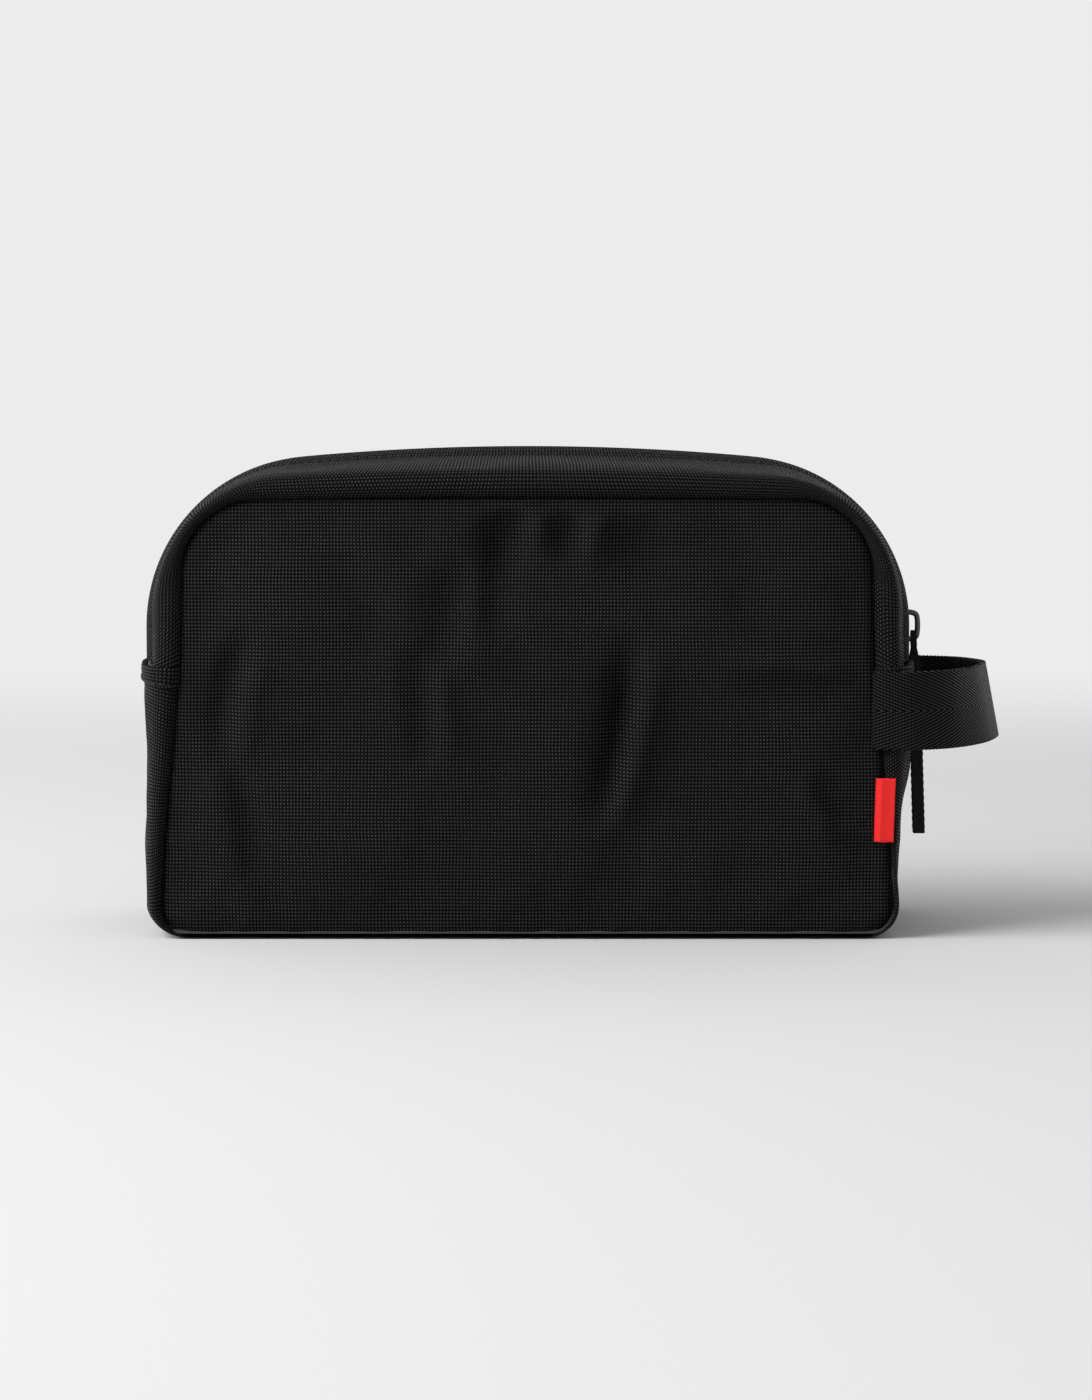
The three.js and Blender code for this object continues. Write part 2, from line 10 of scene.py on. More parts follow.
import bpy
import numpy as np
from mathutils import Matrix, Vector


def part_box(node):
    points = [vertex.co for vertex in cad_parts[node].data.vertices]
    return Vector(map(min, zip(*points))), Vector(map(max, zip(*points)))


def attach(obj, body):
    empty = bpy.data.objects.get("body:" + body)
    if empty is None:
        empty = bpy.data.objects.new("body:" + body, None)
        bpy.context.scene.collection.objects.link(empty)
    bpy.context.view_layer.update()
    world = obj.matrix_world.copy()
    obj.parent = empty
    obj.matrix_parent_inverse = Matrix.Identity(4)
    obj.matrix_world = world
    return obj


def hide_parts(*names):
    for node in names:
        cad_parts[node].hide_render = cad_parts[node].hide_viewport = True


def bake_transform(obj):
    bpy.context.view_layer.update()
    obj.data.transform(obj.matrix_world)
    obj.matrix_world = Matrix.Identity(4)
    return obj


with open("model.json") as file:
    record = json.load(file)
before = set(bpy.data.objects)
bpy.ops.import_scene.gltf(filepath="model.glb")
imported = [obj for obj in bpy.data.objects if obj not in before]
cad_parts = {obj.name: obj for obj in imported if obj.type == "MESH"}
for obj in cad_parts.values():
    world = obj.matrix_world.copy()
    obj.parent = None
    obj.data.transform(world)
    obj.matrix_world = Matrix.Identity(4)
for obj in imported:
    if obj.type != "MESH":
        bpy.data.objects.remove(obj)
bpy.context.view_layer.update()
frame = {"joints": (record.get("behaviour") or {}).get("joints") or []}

MM = 0.001


# ---- sizes taken from the frame

def box_mm(node):
    low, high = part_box(node)
    return np.array(low) / MM, np.array(high) / MM


def joint_mm(name):
    return next(np.array(j["pos_m"]) / MM for j in frame["joints"] if j["name"] == name)


SHOULDER_X, _, SHOULDER_Z = joint_mm("zip_travel")
CREST_X = box_mm("front_zip_gusset_right")[1][0]
CREST_TOP = box_mm("front_zip_gusset_top")[1][2]
SHOULDER_R = CREST_X - SHOULDER_X
SEAM_Y = -joint_mm("front_flap_fold")[1]
SPLIT_Z = box_mm("lower_gusset")[1][2]
CROWN_R = 800.0
SEAM_TOP_Z = 140.8
SEAM_BASE_Z = 0.5
SLIDER_LOW, SLIDER_HIGH = box_mm("slider_body")
PULL_LOW, PULL_HIGH = box_mm("zip_pull")
LOOP_LOW, LOOP_HIGH = box_mm("handle_loop")
LABEL_LOW, LABEL_HIGH = box_mm("seam_label")

SHELL = 1.0
PADDING = 1.2
LINING_CLOTH = 0.5
SEAM_ALLOWANCE = 2.0


# ---- small maths

def smooth(x, low=0.0, high=1.0):
    t = np.clip((x - low) / (high - low), 0.0, 1.0)
    return t * t * (3 - 2 * t)


def catmull(points, count):
    """A Catmull-Rom curve through the points, sampled evenly in its own parameter."""
    p = np.asarray(points, float)
    u = np.linspace(0, len(p) - 1, count)
    k = np.minimum(np.floor(u).astype(int), len(p) - 2)
    f = (u - k)[:, None]
    padded = np.vstack([2 * p[0] - p[1], p, 2 * p[-1] - p[-2]])
    a, b, c, d = (padded[k + s] for s in (0, 1, 2, 3))
    return 0.5 * (
        2 * b + (c - a) * f + (2 * a - 5 * b + 4 * c - d) * f**2 + (3 * b - a - 3 * c + d) * f**3
    )


def lengths(points):
    """Distance along a line to each of its points."""
    steps = np.linalg.norm(np.diff(points, axis=0), axis=1)
    return np.concatenate([[0], np.cumsum(steps)])


def sample(points, s, at):
    """A line's points at the distances `at`, where s is the distance to each given point."""
    return np.stack([np.interp(at, s, column) for column in points.T], axis=1)


def even(points, count):
    """The same line, resampled at even distances."""
    points = np.asarray(points, float)
    s = lengths(points)
    return sample(points, s, np.linspace(0, s[-1], count))


def arc(cx, cz, rx, rz, start, end, count):
    a = np.radians(np.linspace(start, end, count))
    return np.stack([cx + rx * np.cos(a), cz + rz * np.sin(a)], axis=1)


# ---- outlines in the X-Z plane

CROWN_TURN = math.degrees(math.acos(SHOULDER_X / (CROWN_R - SHOULDER_R)))


HEEL_X = 107.0
HEEL_R = 10.0
CREST_HEEL_X = 109.0
CORNER_X, CORNER_Z, CORNER_R = 86.0, 116.0, 24.0
CORNER_TURN = 88.0
UNDERLAP = 7.0


def lower_seam(steps):
    """Half the seam from the middle of the base to the split: base, heel corner, side."""
    base = np.stack([np.linspace(0, HEEL_X, steps), np.full(steps, SEAM_BASE_Z)], axis=1)
    heel = arc(HEEL_X, SEAM_BASE_Z + HEEL_R, HEEL_R, HEEL_R, -90, 0, steps)
    side = catmull([(117, 11.6), (115.6, 35), (113, 62), (111, SPLIT_Z)], steps)
    return base, heel, side


def lower_crest(steps, side_points):
    base = np.stack([np.linspace(0, CREST_HEEL_X, steps), np.zeros(steps)], axis=1)
    low_x, low_z = side_points[0]
    heel = arc(CREST_HEEL_X, low_z, low_x - CREST_HEEL_X, low_z, -90, 0, steps)
    return base, heel, catmull(side_points, steps)


RIGHT_SIDE = [(119.9, 11), (119.2, 22), (121.0, 37), (123.6, 49), (124.6, 64), (125.2, SPLIT_Z)]
LEFT_SIDE = [(123.6, 10), (124.4, 22), (124.2, 40), (124.2, 60), (124.8, 76), (125.2, SPLIT_Z)]


def upper_seam(steps):
    leg = catmull([(111, SPLIT_Z - UNDERLAP), (110.3, 100), (CORNER_X + CORNER_R, CORNER_Z)], steps)
    corner = arc(CORNER_X, CORNER_Z, CORNER_R, CORNER_R, 0, CORNER_TURN, steps)
    crown = catmull([corner[-1], (44, SEAM_TOP_Z - 0.2), (0, SEAM_TOP_Z)], steps)
    return leg, corner, crown


def upper_crest(steps):
    leg = np.stack([np.full(steps, CREST_X), np.linspace(SPLIT_Z - UNDERLAP, SHOULDER_Z, steps)], axis=1)
    shoulder = arc(SHOULDER_X, SHOULDER_Z, SHOULDER_R, SHOULDER_R, 0, CROWN_TURN, steps)
    crown = arc(0, CREST_TOP - CROWN_R, CROWN_R, CROWN_R, CROWN_TURN, 90, steps)
    return leg, shoulder, crown


def join(stretches):
    return np.vstack([stretches[0]] + [s[1:] for s in stretches[1:]])


def mirrored(points):
    return (points * [-1, 1])[::-1]


class Run:
    """Matching lines round the bag: the seam, the crest, and the direction out of the bag."""

    def __init__(self, seam, crest):
        self.seam, self.crest = seam, crest
        along = np.gradient(crest, axis=0)
        along /= np.linalg.norm(along, axis=1)[:, None]
        out = np.stack([along[:, 1], -along[:, 0]], axis=1)
        kernel = np.hanning(9) / np.hanning(9).sum()
        padded = np.pad(out, ((4, 4), (0, 0)), mode="edge")
        out = np.stack([np.convolve(padded[:, i], kernel, mode="valid") for i in (0, 1)], axis=1)
        self.out = out / np.linalg.norm(out, axis=1)[:, None]
        self.s = lengths((seam + crest) / 2)


def lower_run(steps=60):
    seam = join(lower_seam(steps))
    right = join(lower_crest(steps, RIGHT_SIDE))
    left = join(lower_crest(steps, LEFT_SIDE))
    return Run(np.vstack([mirrored(seam), seam[1:]]), np.vstack([mirrored(left), right[1:]]))


def zip_run(steps=70):
    seam = join(upper_seam(steps))
    crest = join(upper_crest(steps))
    return Run(np.vstack([seam, mirrored(seam)[1:]]), np.vstack([crest, mirrored(crest)[1:]]))


LOWER_RUN = lower_run()
ZIP_RUN = zip_run()


def panel_outline(steps=60):
    """The whole seam as a closed line, from the middle of the base round by the right."""
    upper = list(upper_seam(steps))
    upper[0] = upper[0][upper[0][:, 1] > SPLIT_Z]
    half = np.vstack([join(lower_seam(steps)), join(upper)])
    whole = np.vstack([half, mirrored(half)[1:-1]])
    return even(np.vstack([whole, whole[:1]]), 600)[:-1]


OUTLINE = panel_outline()


# ---- meshes

def make_mesh(name, points, faces, uv=None, material=None):
    mesh = bpy.data.meshes.new(name)
    mesh.from_pydata((np.asarray(points, float) * MM).tolist(), [], faces)
    mesh.validate()
    mesh.polygons.foreach_set("use_smooth", np.ones(len(mesh.polygons), bool))
    if uv is not None:
        layer = mesh.uv_layers.new(name="cloth")
        vertex = np.empty(len(mesh.loops), int)
        mesh.loops.foreach_get("vertex_index", vertex)
        layer.data.foreach_set("uv", (np.asarray(uv, float) * MM)[vertex].ravel())
    mesh.update()
    piece = bpy.data.objects.new(name, mesh)
    bpy.context.scene.collection.objects.link(piece)
    if material is not None:
        mesh.materials.append(material)
    return piece


def grid_faces(rows, columns, start=0, flip=False, wrap=False):
    i, j = np.meshgrid(np.arange(rows if wrap else rows - 1), np.arange(columns - 1), indexing="ij")
    k = (i + 1) % rows
    quads = np.stack([i * columns + j, k * columns + j, k * columns + j + 1, i * columns + j + 1], -1)
    quads = quads.reshape(-1, 4) + start
    return quads[:, ::-1] if flip else quads


def edge_faces(rows, columns):
    """Strips that close a two-layer sheet round its edge."""
    n = rows * columns
    loop = [i * columns for i in range(rows)]
    loop += [(rows - 1) * columns + j for j in range(1, columns)]
    loop += [i * columns + columns - 1 for i in range(rows - 2, -1, -1)]
    loop += list(range(columns - 2, 0, -1))
    return [(a, a + n, b + n, b) for a, b in zip(loop, loop[1:] + loop[:1])]


def closed_sheet(name, outer, inner, uv, material, flip=False):
    """Cloth as one closed solid. outer and inner are rows x columns x 3."""
    rows, columns = outer.shape[:2]
    points = np.concatenate([outer.reshape(-1, 3), inner.reshape(-1, 3)])
    n = rows * columns
    faces = [*grid_faces(rows, columns).tolist(), *grid_faces(rows, columns, n, flip=True).tolist()]
    faces += edge_faces(rows, columns)
    if flip:
        faces = [tuple(face[::-1]) for face in faces]
    both = np.concatenate([uv.reshape(-1, 2), uv.reshape(-1, 2)])
    piece = make_mesh(name, points, [tuple(face) for face in faces], both, material)
    face_outwards(piece)
    return piece


def face_outwards(piece):
    """Turns a closed mesh right side out."""
    mesh = piece.data
    co = np.array([v.co for v in mesh.vertices])
    volume = 0.0
    for polygon in mesh.polygons:
        v = [co[i] for i in polygon.vertices]
        for k in range(1, len(v) - 1):
            volume += np.dot(v[0], np.cross(v[k], v[k + 1]))
    if volume < 0:
        mesh.flip_normals()


def surface_normals(grid):
    du = np.gradient(grid, axis=0)
    dv = np.gradient(grid, axis=1)
    normal = np.cross(du, dv)
    return normal / np.maximum(np.linalg.norm(normal, axis=2, keepdims=True), 1e-9)


def normals_towards(grid, column, way):
    """Surface normals, turned so that in the middle of this column they point the given way."""
    normal = surface_normals(grid)
    return -normal if normal[len(grid) // 2, column] @ way < 0 else normal


# ---- shader helpers

class Nodes:
    """Short calls for building one material's node tree."""

    def __init__(self, name):
        self.material = bpy.data.materials.new(name)
        self.material.use_nodes = True
        self.tree = self.material.node_tree
        self.shader = self.tree.nodes["Principled BSDF"]

    def node(self, kind, **settings):
        node = self.tree.nodes.new(kind)
        for key, value in settings.items():
            setattr(node, key, value)
        return node

    def link(self, out, into):
        self.tree.links.new(out, into)

    def feed(self, socket, value):
        if isinstance(value, bpy.types.NodeSocket):
            self.link(value, socket)
        else:
            socket.default_value = value

    def math(self, operation, *values):
        node = self.node("ShaderNodeMath", operation=operation)
        for socket, value in zip(node.inputs, values):
            self.feed(socket, value)
        return node.outputs[0]

    def ramp(self, value, low, high, out_low=0.0, out_high=1.0):
        node = self.node("ShaderNodeMapRange", interpolation_type="SMOOTHSTEP")
        for key, number in zip(("Value", "From Min", "From Max", "To Min", "To Max"),
                               (value, low, high, out_low, out_high)):
            self.feed(node.inputs[key], number)
        return node.outputs["Result"]

    def mix(self, factor, a, b):
        node = self.node("ShaderNodeMix", data_type="RGBA")
        self.feed(node.inputs["Factor"], factor)
        for socket, colour in ((node.inputs["A"], a), (node.inputs["B"], b)):
            self.feed(socket, colour)
        return node.outputs["Result"]

    def noise(self, vector, scale, detail=2.0, roughness=0.5):
        node = self.node("ShaderNodeTexNoise")
        self.link(vector, node.inputs["Vector"])
        node.inputs["Scale"].default_value = scale
        node.inputs["Detail"].default_value = detail
        node.inputs["Roughness"].default_value = roughness
        return node.outputs["Fac"]

    def position(self):
        return self.node("ShaderNodeTexCoord").outputs["Object"]

    def uv(self):
        node = self.node("ShaderNodeUVMap", uv_map="cloth")
        split = self.node("ShaderNodeSeparateXYZ")
        self.link(node.outputs["UV"], split.inputs[0])
        return node.outputs["UV"], split.outputs["X"], split.outputs["Y"]

    def bump(self, height, distance, strength=1.0, before=None):
        node = self.node("ShaderNodeBump")
        node.inputs["Strength"].default_value = strength
        node.inputs["Distance"].default_value = distance
        self.link(height, node.inputs["Height"])
        if before is not None:
            self.link(before, node.inputs["Normal"])
        return node.outputs["Normal"]

    def finish(self, colour, roughness, normal=None, **fixed):
        self.feed(self.shader.inputs["Base Color"], colour)
        self.feed(self.shader.inputs["Roughness"], roughness)
        if normal is not None:
            self.link(normal, self.shader.inputs["Normal"])
        for key, value in fixed.items():
            self.shader.inputs[key.replace("_", " ")].default_value = value
        return self.material


def grey(value, warm=0.0):
    return (value * (1 + warm), value, value * (1 - warm), 1.0)


# ---- materials

WEAVE_ACROSS = 1.08 * MM
WEAVE_UP = 1.13 * MM


def weave_height(n, u, v, across, up):
    """Raised yarn floats, drawn out along one diagonal, in a near-square lattice of dark holes."""
    x = n.math("SUBTRACT", n.math("FRACT", n.math("DIVIDE", u, across)), 0.5)
    y = n.math("SUBTRACT", n.math("FRACT", n.math("DIVIDE", v, up)), 0.5)
    along = n.math("DIVIDE", n.math("ADD", x, y), 0.66)
    over = n.math("DIVIDE", n.math("SUBTRACT", x, y), 0.40)
    reach = n.math("SQRT", n.math("ADD", n.math("POWER", along, 2.0), n.math("POWER", over, 2.0)))
    return n.ramp(reach, 0.3, 1.15, 1.0, 0.0)


def cloth_material(name, dark=0.0004, light=0.060, gloss=0.30):
    n = Nodes(name)
    uv, u, v = n.uv()
    drift = n.noise(uv, 45.0, 1.0)
    wander = n.math("MULTIPLY", n.math("SUBTRACT", drift, 0.5), 0.0012)
    height = weave_height(n, n.math("ADD", u, wander), v, WEAVE_ACROSS, WEAVE_UP)
    fibre = n.noise(uv, 5200.0, 2.0)
    yarn = n.math("MULTIPLY", height, n.ramp(fibre, 0.25, 0.75, 0.72, 1.0))
    patch = n.ramp(n.noise(n.position(), 22.0, 3.0), 0.3, 0.7, 0.9, 1.1)
    tone = n.math("MULTIPLY", n.math("POWER", yarn, 1.4), patch)
    # Painted glint and painted shade: the weave mask paints the raised yarn floats lighter, as glints of the
    # key light, and the holes between them near black, as shade. The black nylon's own colour is the dark end.
    colour = n.mix(tone, grey(dark), grey(light, 0.02))
    rough = n.ramp(height, 0.0, 1.0, 0.9, gloss)
    normal = n.bump(yarn, 0.00035, 1.0)
    return n.finish(colour, rough, normal, Specular_IOR_Level=0.13)


def webbing_material():
    """Herringbone webbing: fine ribs that meet in a point along the middle."""
    n = Nodes("herringbone_webbing")
    uv, u, v = n.uv()
    slant = n.math("MULTIPLY", n.math("ABSOLUTE", v), 2.6)
    phase = n.math("ADD", n.math("ADD", u, slant), n.math("MULTIPLY", n.noise(uv, 300.0), 0.0002))
    rib = n.math("ABSOLUTE", n.math("SINE", n.math("MULTIPLY", phase, math.pi / (2.7 * MM))))
    pick = n.math("ABSOLUTE", n.math("SINE", n.math("MULTIPLY", u, math.pi / (0.95 * MM))))
    height = n.math("MULTIPLY", n.ramp(rib, 0.2, 0.95), n.ramp(pick, 0.0, 0.8, 0.55, 1.0))
    # Painted glint and painted shade: the rib tops are painted lighter, as glints of the key light, and the
    # grooves between them near black, as shade. The black webbing's own colour is the dark end.
    colour = n.mix(n.math("POWER", height, 3.4), grey(0.0002), grey(0.030))
    rough = n.ramp(height, 0.0, 1.0, 0.9, 0.3)
    normal = n.bump(height, 0.0006, 1.0)
    return n.finish(colour, rough, normal, Specular_IOR_Level=0.08)


def fine_cloth_material(name, colour_dark, colour_light, pitch, rough=0.6, depth=0.00008):
    """Plain-weave lining, zip tape, binding and label cloth."""
    n = Nodes(name)
    _, u, v = n.uv()
    wave_u = n.math("SINE", n.math("MULTIPLY", u, 2 * math.pi / (pitch * MM)))
    wave_v = n.math("SINE", n.math("MULTIPLY", v, 2 * math.pi / (pitch * MM)))
    height = n.ramp(n.math("MULTIPLY", wave_u, wave_v), -1.0, 1.0)
    mottle = n.noise(n.position(), 60.0, 3.0)
    tone = n.math("MULTIPLY", height, n.ramp(mottle, 0.3, 0.7, 0.85, 1.0))
    colour = n.mix(tone, colour_dark, colour_light)
    return n.finish(colour, n.ramp(height, 0.0, 1.0, rough + 0.12, rough), n.bump(height, depth, 0.7),
                    Specular_IOR_Level=0.2)


def foam_material():
    n = Nodes("padding_foam")
    cells = n.noise(n.position(), 1400.0, 3.0, 0.7)
    return n.finish(n.mix(cells, grey(0.03), grey(0.07)), 0.95, n.bump(cells, 0.0003, 0.6))


def metal_material():
    n = Nodes("gunmetal")
    position = n.position()
    cast = n.noise(position, 900.0, 4.0, 0.6)
    wear = n.ramp(n.noise(position, 160.0, 3.0), 0.45, 0.7)
    colour = n.mix(wear, (0.095, 0.09, 0.086, 1), (0.15, 0.141, 0.134, 1))
    rough = n.ramp(cast, 0.3, 0.7, 0.32, 0.46)
    return n.finish(colour, rough, n.bump(cast, 0.00003, 0.5), Metallic=0.85)


def plastic_material():
    n = Nodes("zip_coil_nylon")
    grain = n.noise(n.position(), 1500.0, 2.0)
    return n.finish(n.mix(grain, grey(0.008), grey(0.016)), n.ramp(grain, 0.3, 0.7, 0.5, 0.62),
                    n.bump(grain, 0.00002, 0.4), Specular_IOR_Level=0.15)


def thread_material():
    n = Nodes("stitching_thread")
    position = n.position()
    twist = n.noise(position, 3800.0, 1.0)
    return n.finish(n.mix(twist, grey(0.006), grey(0.03)), 0.5, n.bump(twist, 0.00006, 0.8),
                    Specular_IOR_Level=0.2)


CLOTH = cloth_material("woven_nylon")
WEBBING = webbing_material()
LINING = fine_cloth_material("lining_cloth", grey(0.012), grey(0.03), 0.5, 0.5)
BINDING = fine_cloth_material("binding_tape", grey(0.006), grey(0.016), 0.7, 0.7)
TAPE = fine_cloth_material("zip_tape_cloth", grey(0.004), grey(0.016), 0.6, 0.75)
LABEL = fine_cloth_material("red_label_cloth", (0.72, 0.012, 0.012, 1), (0.92, 0.03, 0.026, 1), 0.42, 0.55)
FOAM = foam_material()
METAL = metal_material()
COIL = plastic_material()
THREAD = thread_material()


# ---- panels

def nearest_edge(x, z):
    """Distance from each point to the seam outline."""
    flat = np.stack([x.ravel(), z.ravel()], axis=1)
    ends = np.roll(OUTLINE, -1, axis=0)
    best = np.full(len(flat), 1e9)
    for a, b in zip(OUTLINE[::2], ends[1::2]):
        run = b - a
        t = np.clip(((flat - a) @ run) / (run @ run), 0, 1)
        gap = flat - (a + t[:, None] * run)
        best = np.minimum(best, np.einsum("ij,ij->i", gap, gap))
    return np.sqrt(best).reshape(x.shape)


def tangents(line):
    """Directions along a closed line."""
    along = np.roll(line, -1, axis=0) - np.roll(line, 1, axis=0)
    return along / np.linalg.norm(along, axis=1)[:, None]


def inset_outline(inset):
    along = tangents(OUTLINE)
    return OUTLINE - inset * np.stack([along[:, 1], -along[:, 0]], axis=1)


def coons(inset, columns, rows):
    """A grid fitted to the panel's outline, whose corners fall in the middle of its round corners."""
    middle = OUTLINE.mean(axis=0)
    line = inset_outline(inset)
    ways = np.array([(1.0, -1.0), (1.0, 1.0), (-1.0, 1.0), (-1.0, -1.0)])
    corners = [int(np.argmax((line - middle) @ way)) for way in ways]
    turn = np.roll(line, -corners[3], axis=0)
    cut = [(c - corners[3]) % len(line) for c in corners[:3]] + [len(line)]
    closed = np.vstack([turn, turn[:1]])
    bottom = even(closed[: cut[0] + 1], columns)
    right = even(closed[cut[0]: cut[1] + 1], rows)
    top = even(closed[cut[1]: cut[2] + 1], columns)[::-1]
    left = even(closed[cut[2]: cut[3] + 1], rows)[::-1]
    u = np.linspace(0, 1, columns)[None, :, None]
    v = np.linspace(0, 1, rows)[:, None, None]
    sides = (1 - u) * left[:, None] + u * right[:, None]
    ends = (1 - v) * bottom[None] + v * top[None]
    corner = ((1 - u) * (1 - v) * bottom[0] + u * (1 - v) * bottom[-1]
              + (1 - u) * v * top[0] + u * v * top[-1])
    return sides + ends - corner


def bell(x, z, cx, cz, rx, rz, tilt=0.0):
    a = math.radians(tilt)
    dx, dz = x - cx, z - cz
    p = (dx * math.cos(a) + dz * math.sin(a)) / rx
    q = (-dx * math.sin(a) + dz * math.cos(a)) / rz
    return np.exp(-0.5 * (p * p + q * q))


FOLD_SHARPNESS = 0.78
FOLD_HEIGHT = 1.8


def crease(x, z, start, end, width, bow=0.0):
    """A fold line between two points: (signed distance over width, strength along the line)."""
    start, end = np.array(start, float), np.array(end, float)
    run = end - start
    length = np.linalg.norm(run)
    run /= length
    width = width * FOLD_SHARPNESS
    dx, dz = x - start[0], z - start[1]
    along = (dx * run[0] + dz * run[1]) / length
    across = -dx * run[1] + dz * run[0] - bow * 4 * along * (1 - along)
    strength = smooth(along, -0.12, 0.3) * (1 - smooth(along, 0.72, 1.1))
    return across / width, strength


def ridge(x, z, start, end, width, bow=0.0):
    across, strength = crease(x, z, start, end, width, bow)
    return strength * np.exp(-0.5 * across**2)


def step(x, z, start, end, width, bow=0.0):
    """One side of the line high, the other low, fading away from it."""
    across, strength = crease(x, z, start, end, width, bow)
    return strength * across * np.exp(-0.5 * across**2) * 1.65


# Each fold: its kind, its height in millimetres, and the numbers of its kind.
FRONT_FOLDS = [
    (step, 2.0, (36, 94), (25, 37), 6.0, 1.5),
    (ridge, -1.3, (31, 86), (24.5, 40), 2.6, 1.0),
    (bell, -2.4, -6, 128, 5.0, 8.5, -4),
    (bell, -1.9, 12.5, 129, 4.0, 6.5),
    (bell, -2.6, 36, 125.5, 9.5, 6.5, 12),
    (bell, 1.5, 3.5, 133, 2.6, 6.0),
    (bell, 1.3, 21.5, 131, 3.0, 7.0, -8),
    (bell, 0.9, 48, 131, 6.0, 4.0),
    (ridge, -1.2, (-10, 138), (-11, 96), 4.5),
    (step, 0.9, (-18, 122), (-24, 84), 7.0),
    (ridge, -1.5, (-90, 98), (-98, 56), 4.5, -2),
    (ridge, 1.0, (-84, 92), (-91, 54), 4.0, -1),
    (ridge, -1.0, (-94, 58), (-88, 18), 4.0, 2),
    (ridge, -1.3, (-36, 92), (-32, 55), 5.0, 1),
    (ridge, 0.8, (-28, 90), (-25, 56), 4.0),
    (ridge, 1.3, (68, 88), (104, 84), 3.6, 1),
    (ridge, -0.8, (66, 82), (104, 79), 3.6),
    (ridge, 1.3, (86, 50), (97, 34), 3.0),
    (ridge, -0.9, (92, 53), (103, 38), 3.4),
    (ridge, 0.9, (99, 37), (112, 31), 2.0),
    (ridge, -0.8, (98, 33), (110, 27), 2.2),
    (step, 0.8, (-60, 128), (-40, 100), 9.0, 2),
    (bell, -0.7, 70, 118, 14, 9, -20),
    (bell, 0.6, 0, 45, 40, 18),
]


BACK_FOLDS = [
    (ridge, -1.4, (-40, 128), (-28, 82), 6.0, 2),
    (step, 0.9, (22, 118), (34, 64), 8.0, -2),
    (bell, -1.3, 48, 124, 12, 7, -14),
    (ridge, -1.0, (84, 96), (92, 48), 5.0, 2),
    (ridge, 0.8, (-96, 76), (-74, 70), 4.0),
    (ridge, -0.9, (-88, 44), (-98, 26), 4.0),
    (bell, 0.6, 0, 50, 44, 20),
]


def fold_height(x, z, folds):
    """Height of a panel's folds and dents, out of the panel."""
    return FOLD_HEIGHT * sum(height * kind(x, z, *numbers) for kind, height, *numbers in folds)


def slow_waves(x, z, seed, size, height):
    """Gentle unevenness of padded cloth: a few fixed waves."""
    random = np.random.default_rng(seed)
    h = 0.0 * x
    for _ in range(14):
        angle, phase = random.uniform(0, 2 * math.pi, 2)
        wave = 2 * math.pi / (size * random.uniform(0.7, 1.6))
        h += np.sin(wave * (x * math.cos(angle) + z * math.sin(angle)) + phase)
    return height * h / math.sqrt(14)


def seam_puckers(edge, s, seed, height):
    """Small gathers that run in from the seam and die away."""
    random = np.random.default_rng(seed)
    h = 0.0 * edge
    for wave in (9.0, 14.0, 23.0):
        h += np.sin(2 * math.pi * s / wave + random.uniform(0, 6.28)) * (0.6 + 0.4 * np.sin(s / 31 + wave))
    return height * h * np.exp(-edge / 5.5) * smooth(edge, 0.3, 2.5)


def along_outline(x, z):
    """Distance round the seam of the nearest outline point, for each grid point."""
    line_s = lengths(OUTLINE)
    flat = np.stack([x.ravel(), z.ravel()], axis=1)
    nearest = np.empty(len(flat), int)
    for k in range(0, len(flat), 4096):
        part = flat[k: k + 4096]
        gap = ((part[:, None] - OUTLINE[None]) ** 2).sum(axis=2)
        nearest[k: k + 4096] = gap.argmin(axis=1)
    return line_s[nearest].reshape(x.shape)


COVER_STRETCH = -0.03
COVER_PRESSURE = 1.2
COVER_FRAMES = 20
COVER_RELIEF = 0.9
COVER_STEP = 2
COVER_SEWN = 1.2


def simulated_cover(flat, out, edge, sign):
    """How the padding pushes the sewn-down cloth out of its plane, by a cloth simulation."""
    rough = np.stack([flat[..., 0], sign * out, flat[..., 1]], axis=2)[::COVER_STEP, ::COVER_STEP]
    rows, columns = rough.shape[:2]
    faces = [tuple(face) for face in grid_faces(rows, columns, flip=sign < 0).tolist()]
    cover = make_mesh("cover_cloth", rough.reshape(-1, 3), faces)
    sewn = cover.vertex_groups.new(name="sewn")
    sewn.add(np.flatnonzero(edge[::COVER_STEP, ::COVER_STEP].ravel() < COVER_SEWN).tolist(), 1.0, "REPLACE")
    cloth = cover.modifiers.new("cloth", "CLOTH")
    cloth.settings.quality = 6
    cloth.settings.mass = 0.25
    cloth.settings.tension_stiffness = 20
    cloth.settings.compression_stiffness = 6
    cloth.settings.bending_stiffness = 0.3
    cloth.settings.shrink_min = COVER_STRETCH
    cloth.settings.vertex_group_mass = "sewn"
    cloth.settings.use_pressure = True
    cloth.settings.uniform_pressure_force = COVER_PRESSURE
    cloth.settings.effector_weights.gravity = 0
    cloth.collision_settings.use_collision = False
    cloth.point_cache.frame_end = COVER_FRAMES
    for number in range(1, COVER_FRAMES + 1):
        bpy.context.scene.frame_set(number)
    after = cover.evaluated_get(bpy.context.evaluated_depsgraph_get()).data
    height = np.array([v.co.y for v in after.vertices]).reshape(rows, columns) / MM * sign
    bpy.data.objects.remove(cover)
    bpy.context.scene.frame_set(1)
    rise = height - out[::COVER_STEP, ::COVER_STEP]
    rise = rise - blurred(rise, 9)
    rise = COVER_RELIEF * np.tanh(blurred(rise, 1) / COVER_RELIEF)
    return enlarge(rise, out.shape)


def blurred(grid, reach):
    kernel = np.hanning(2 * reach + 3)[1:-1]
    kernel /= kernel.sum()
    for axis in (0, 1):
        size = [(reach, reach) if a == axis else (0, 0) for a in (0, 1)]
        padded = np.pad(grid, size, mode="edge")
        grid = np.apply_along_axis(lambda row: np.convolve(row, kernel, mode="valid"), axis, padded)
    return grid


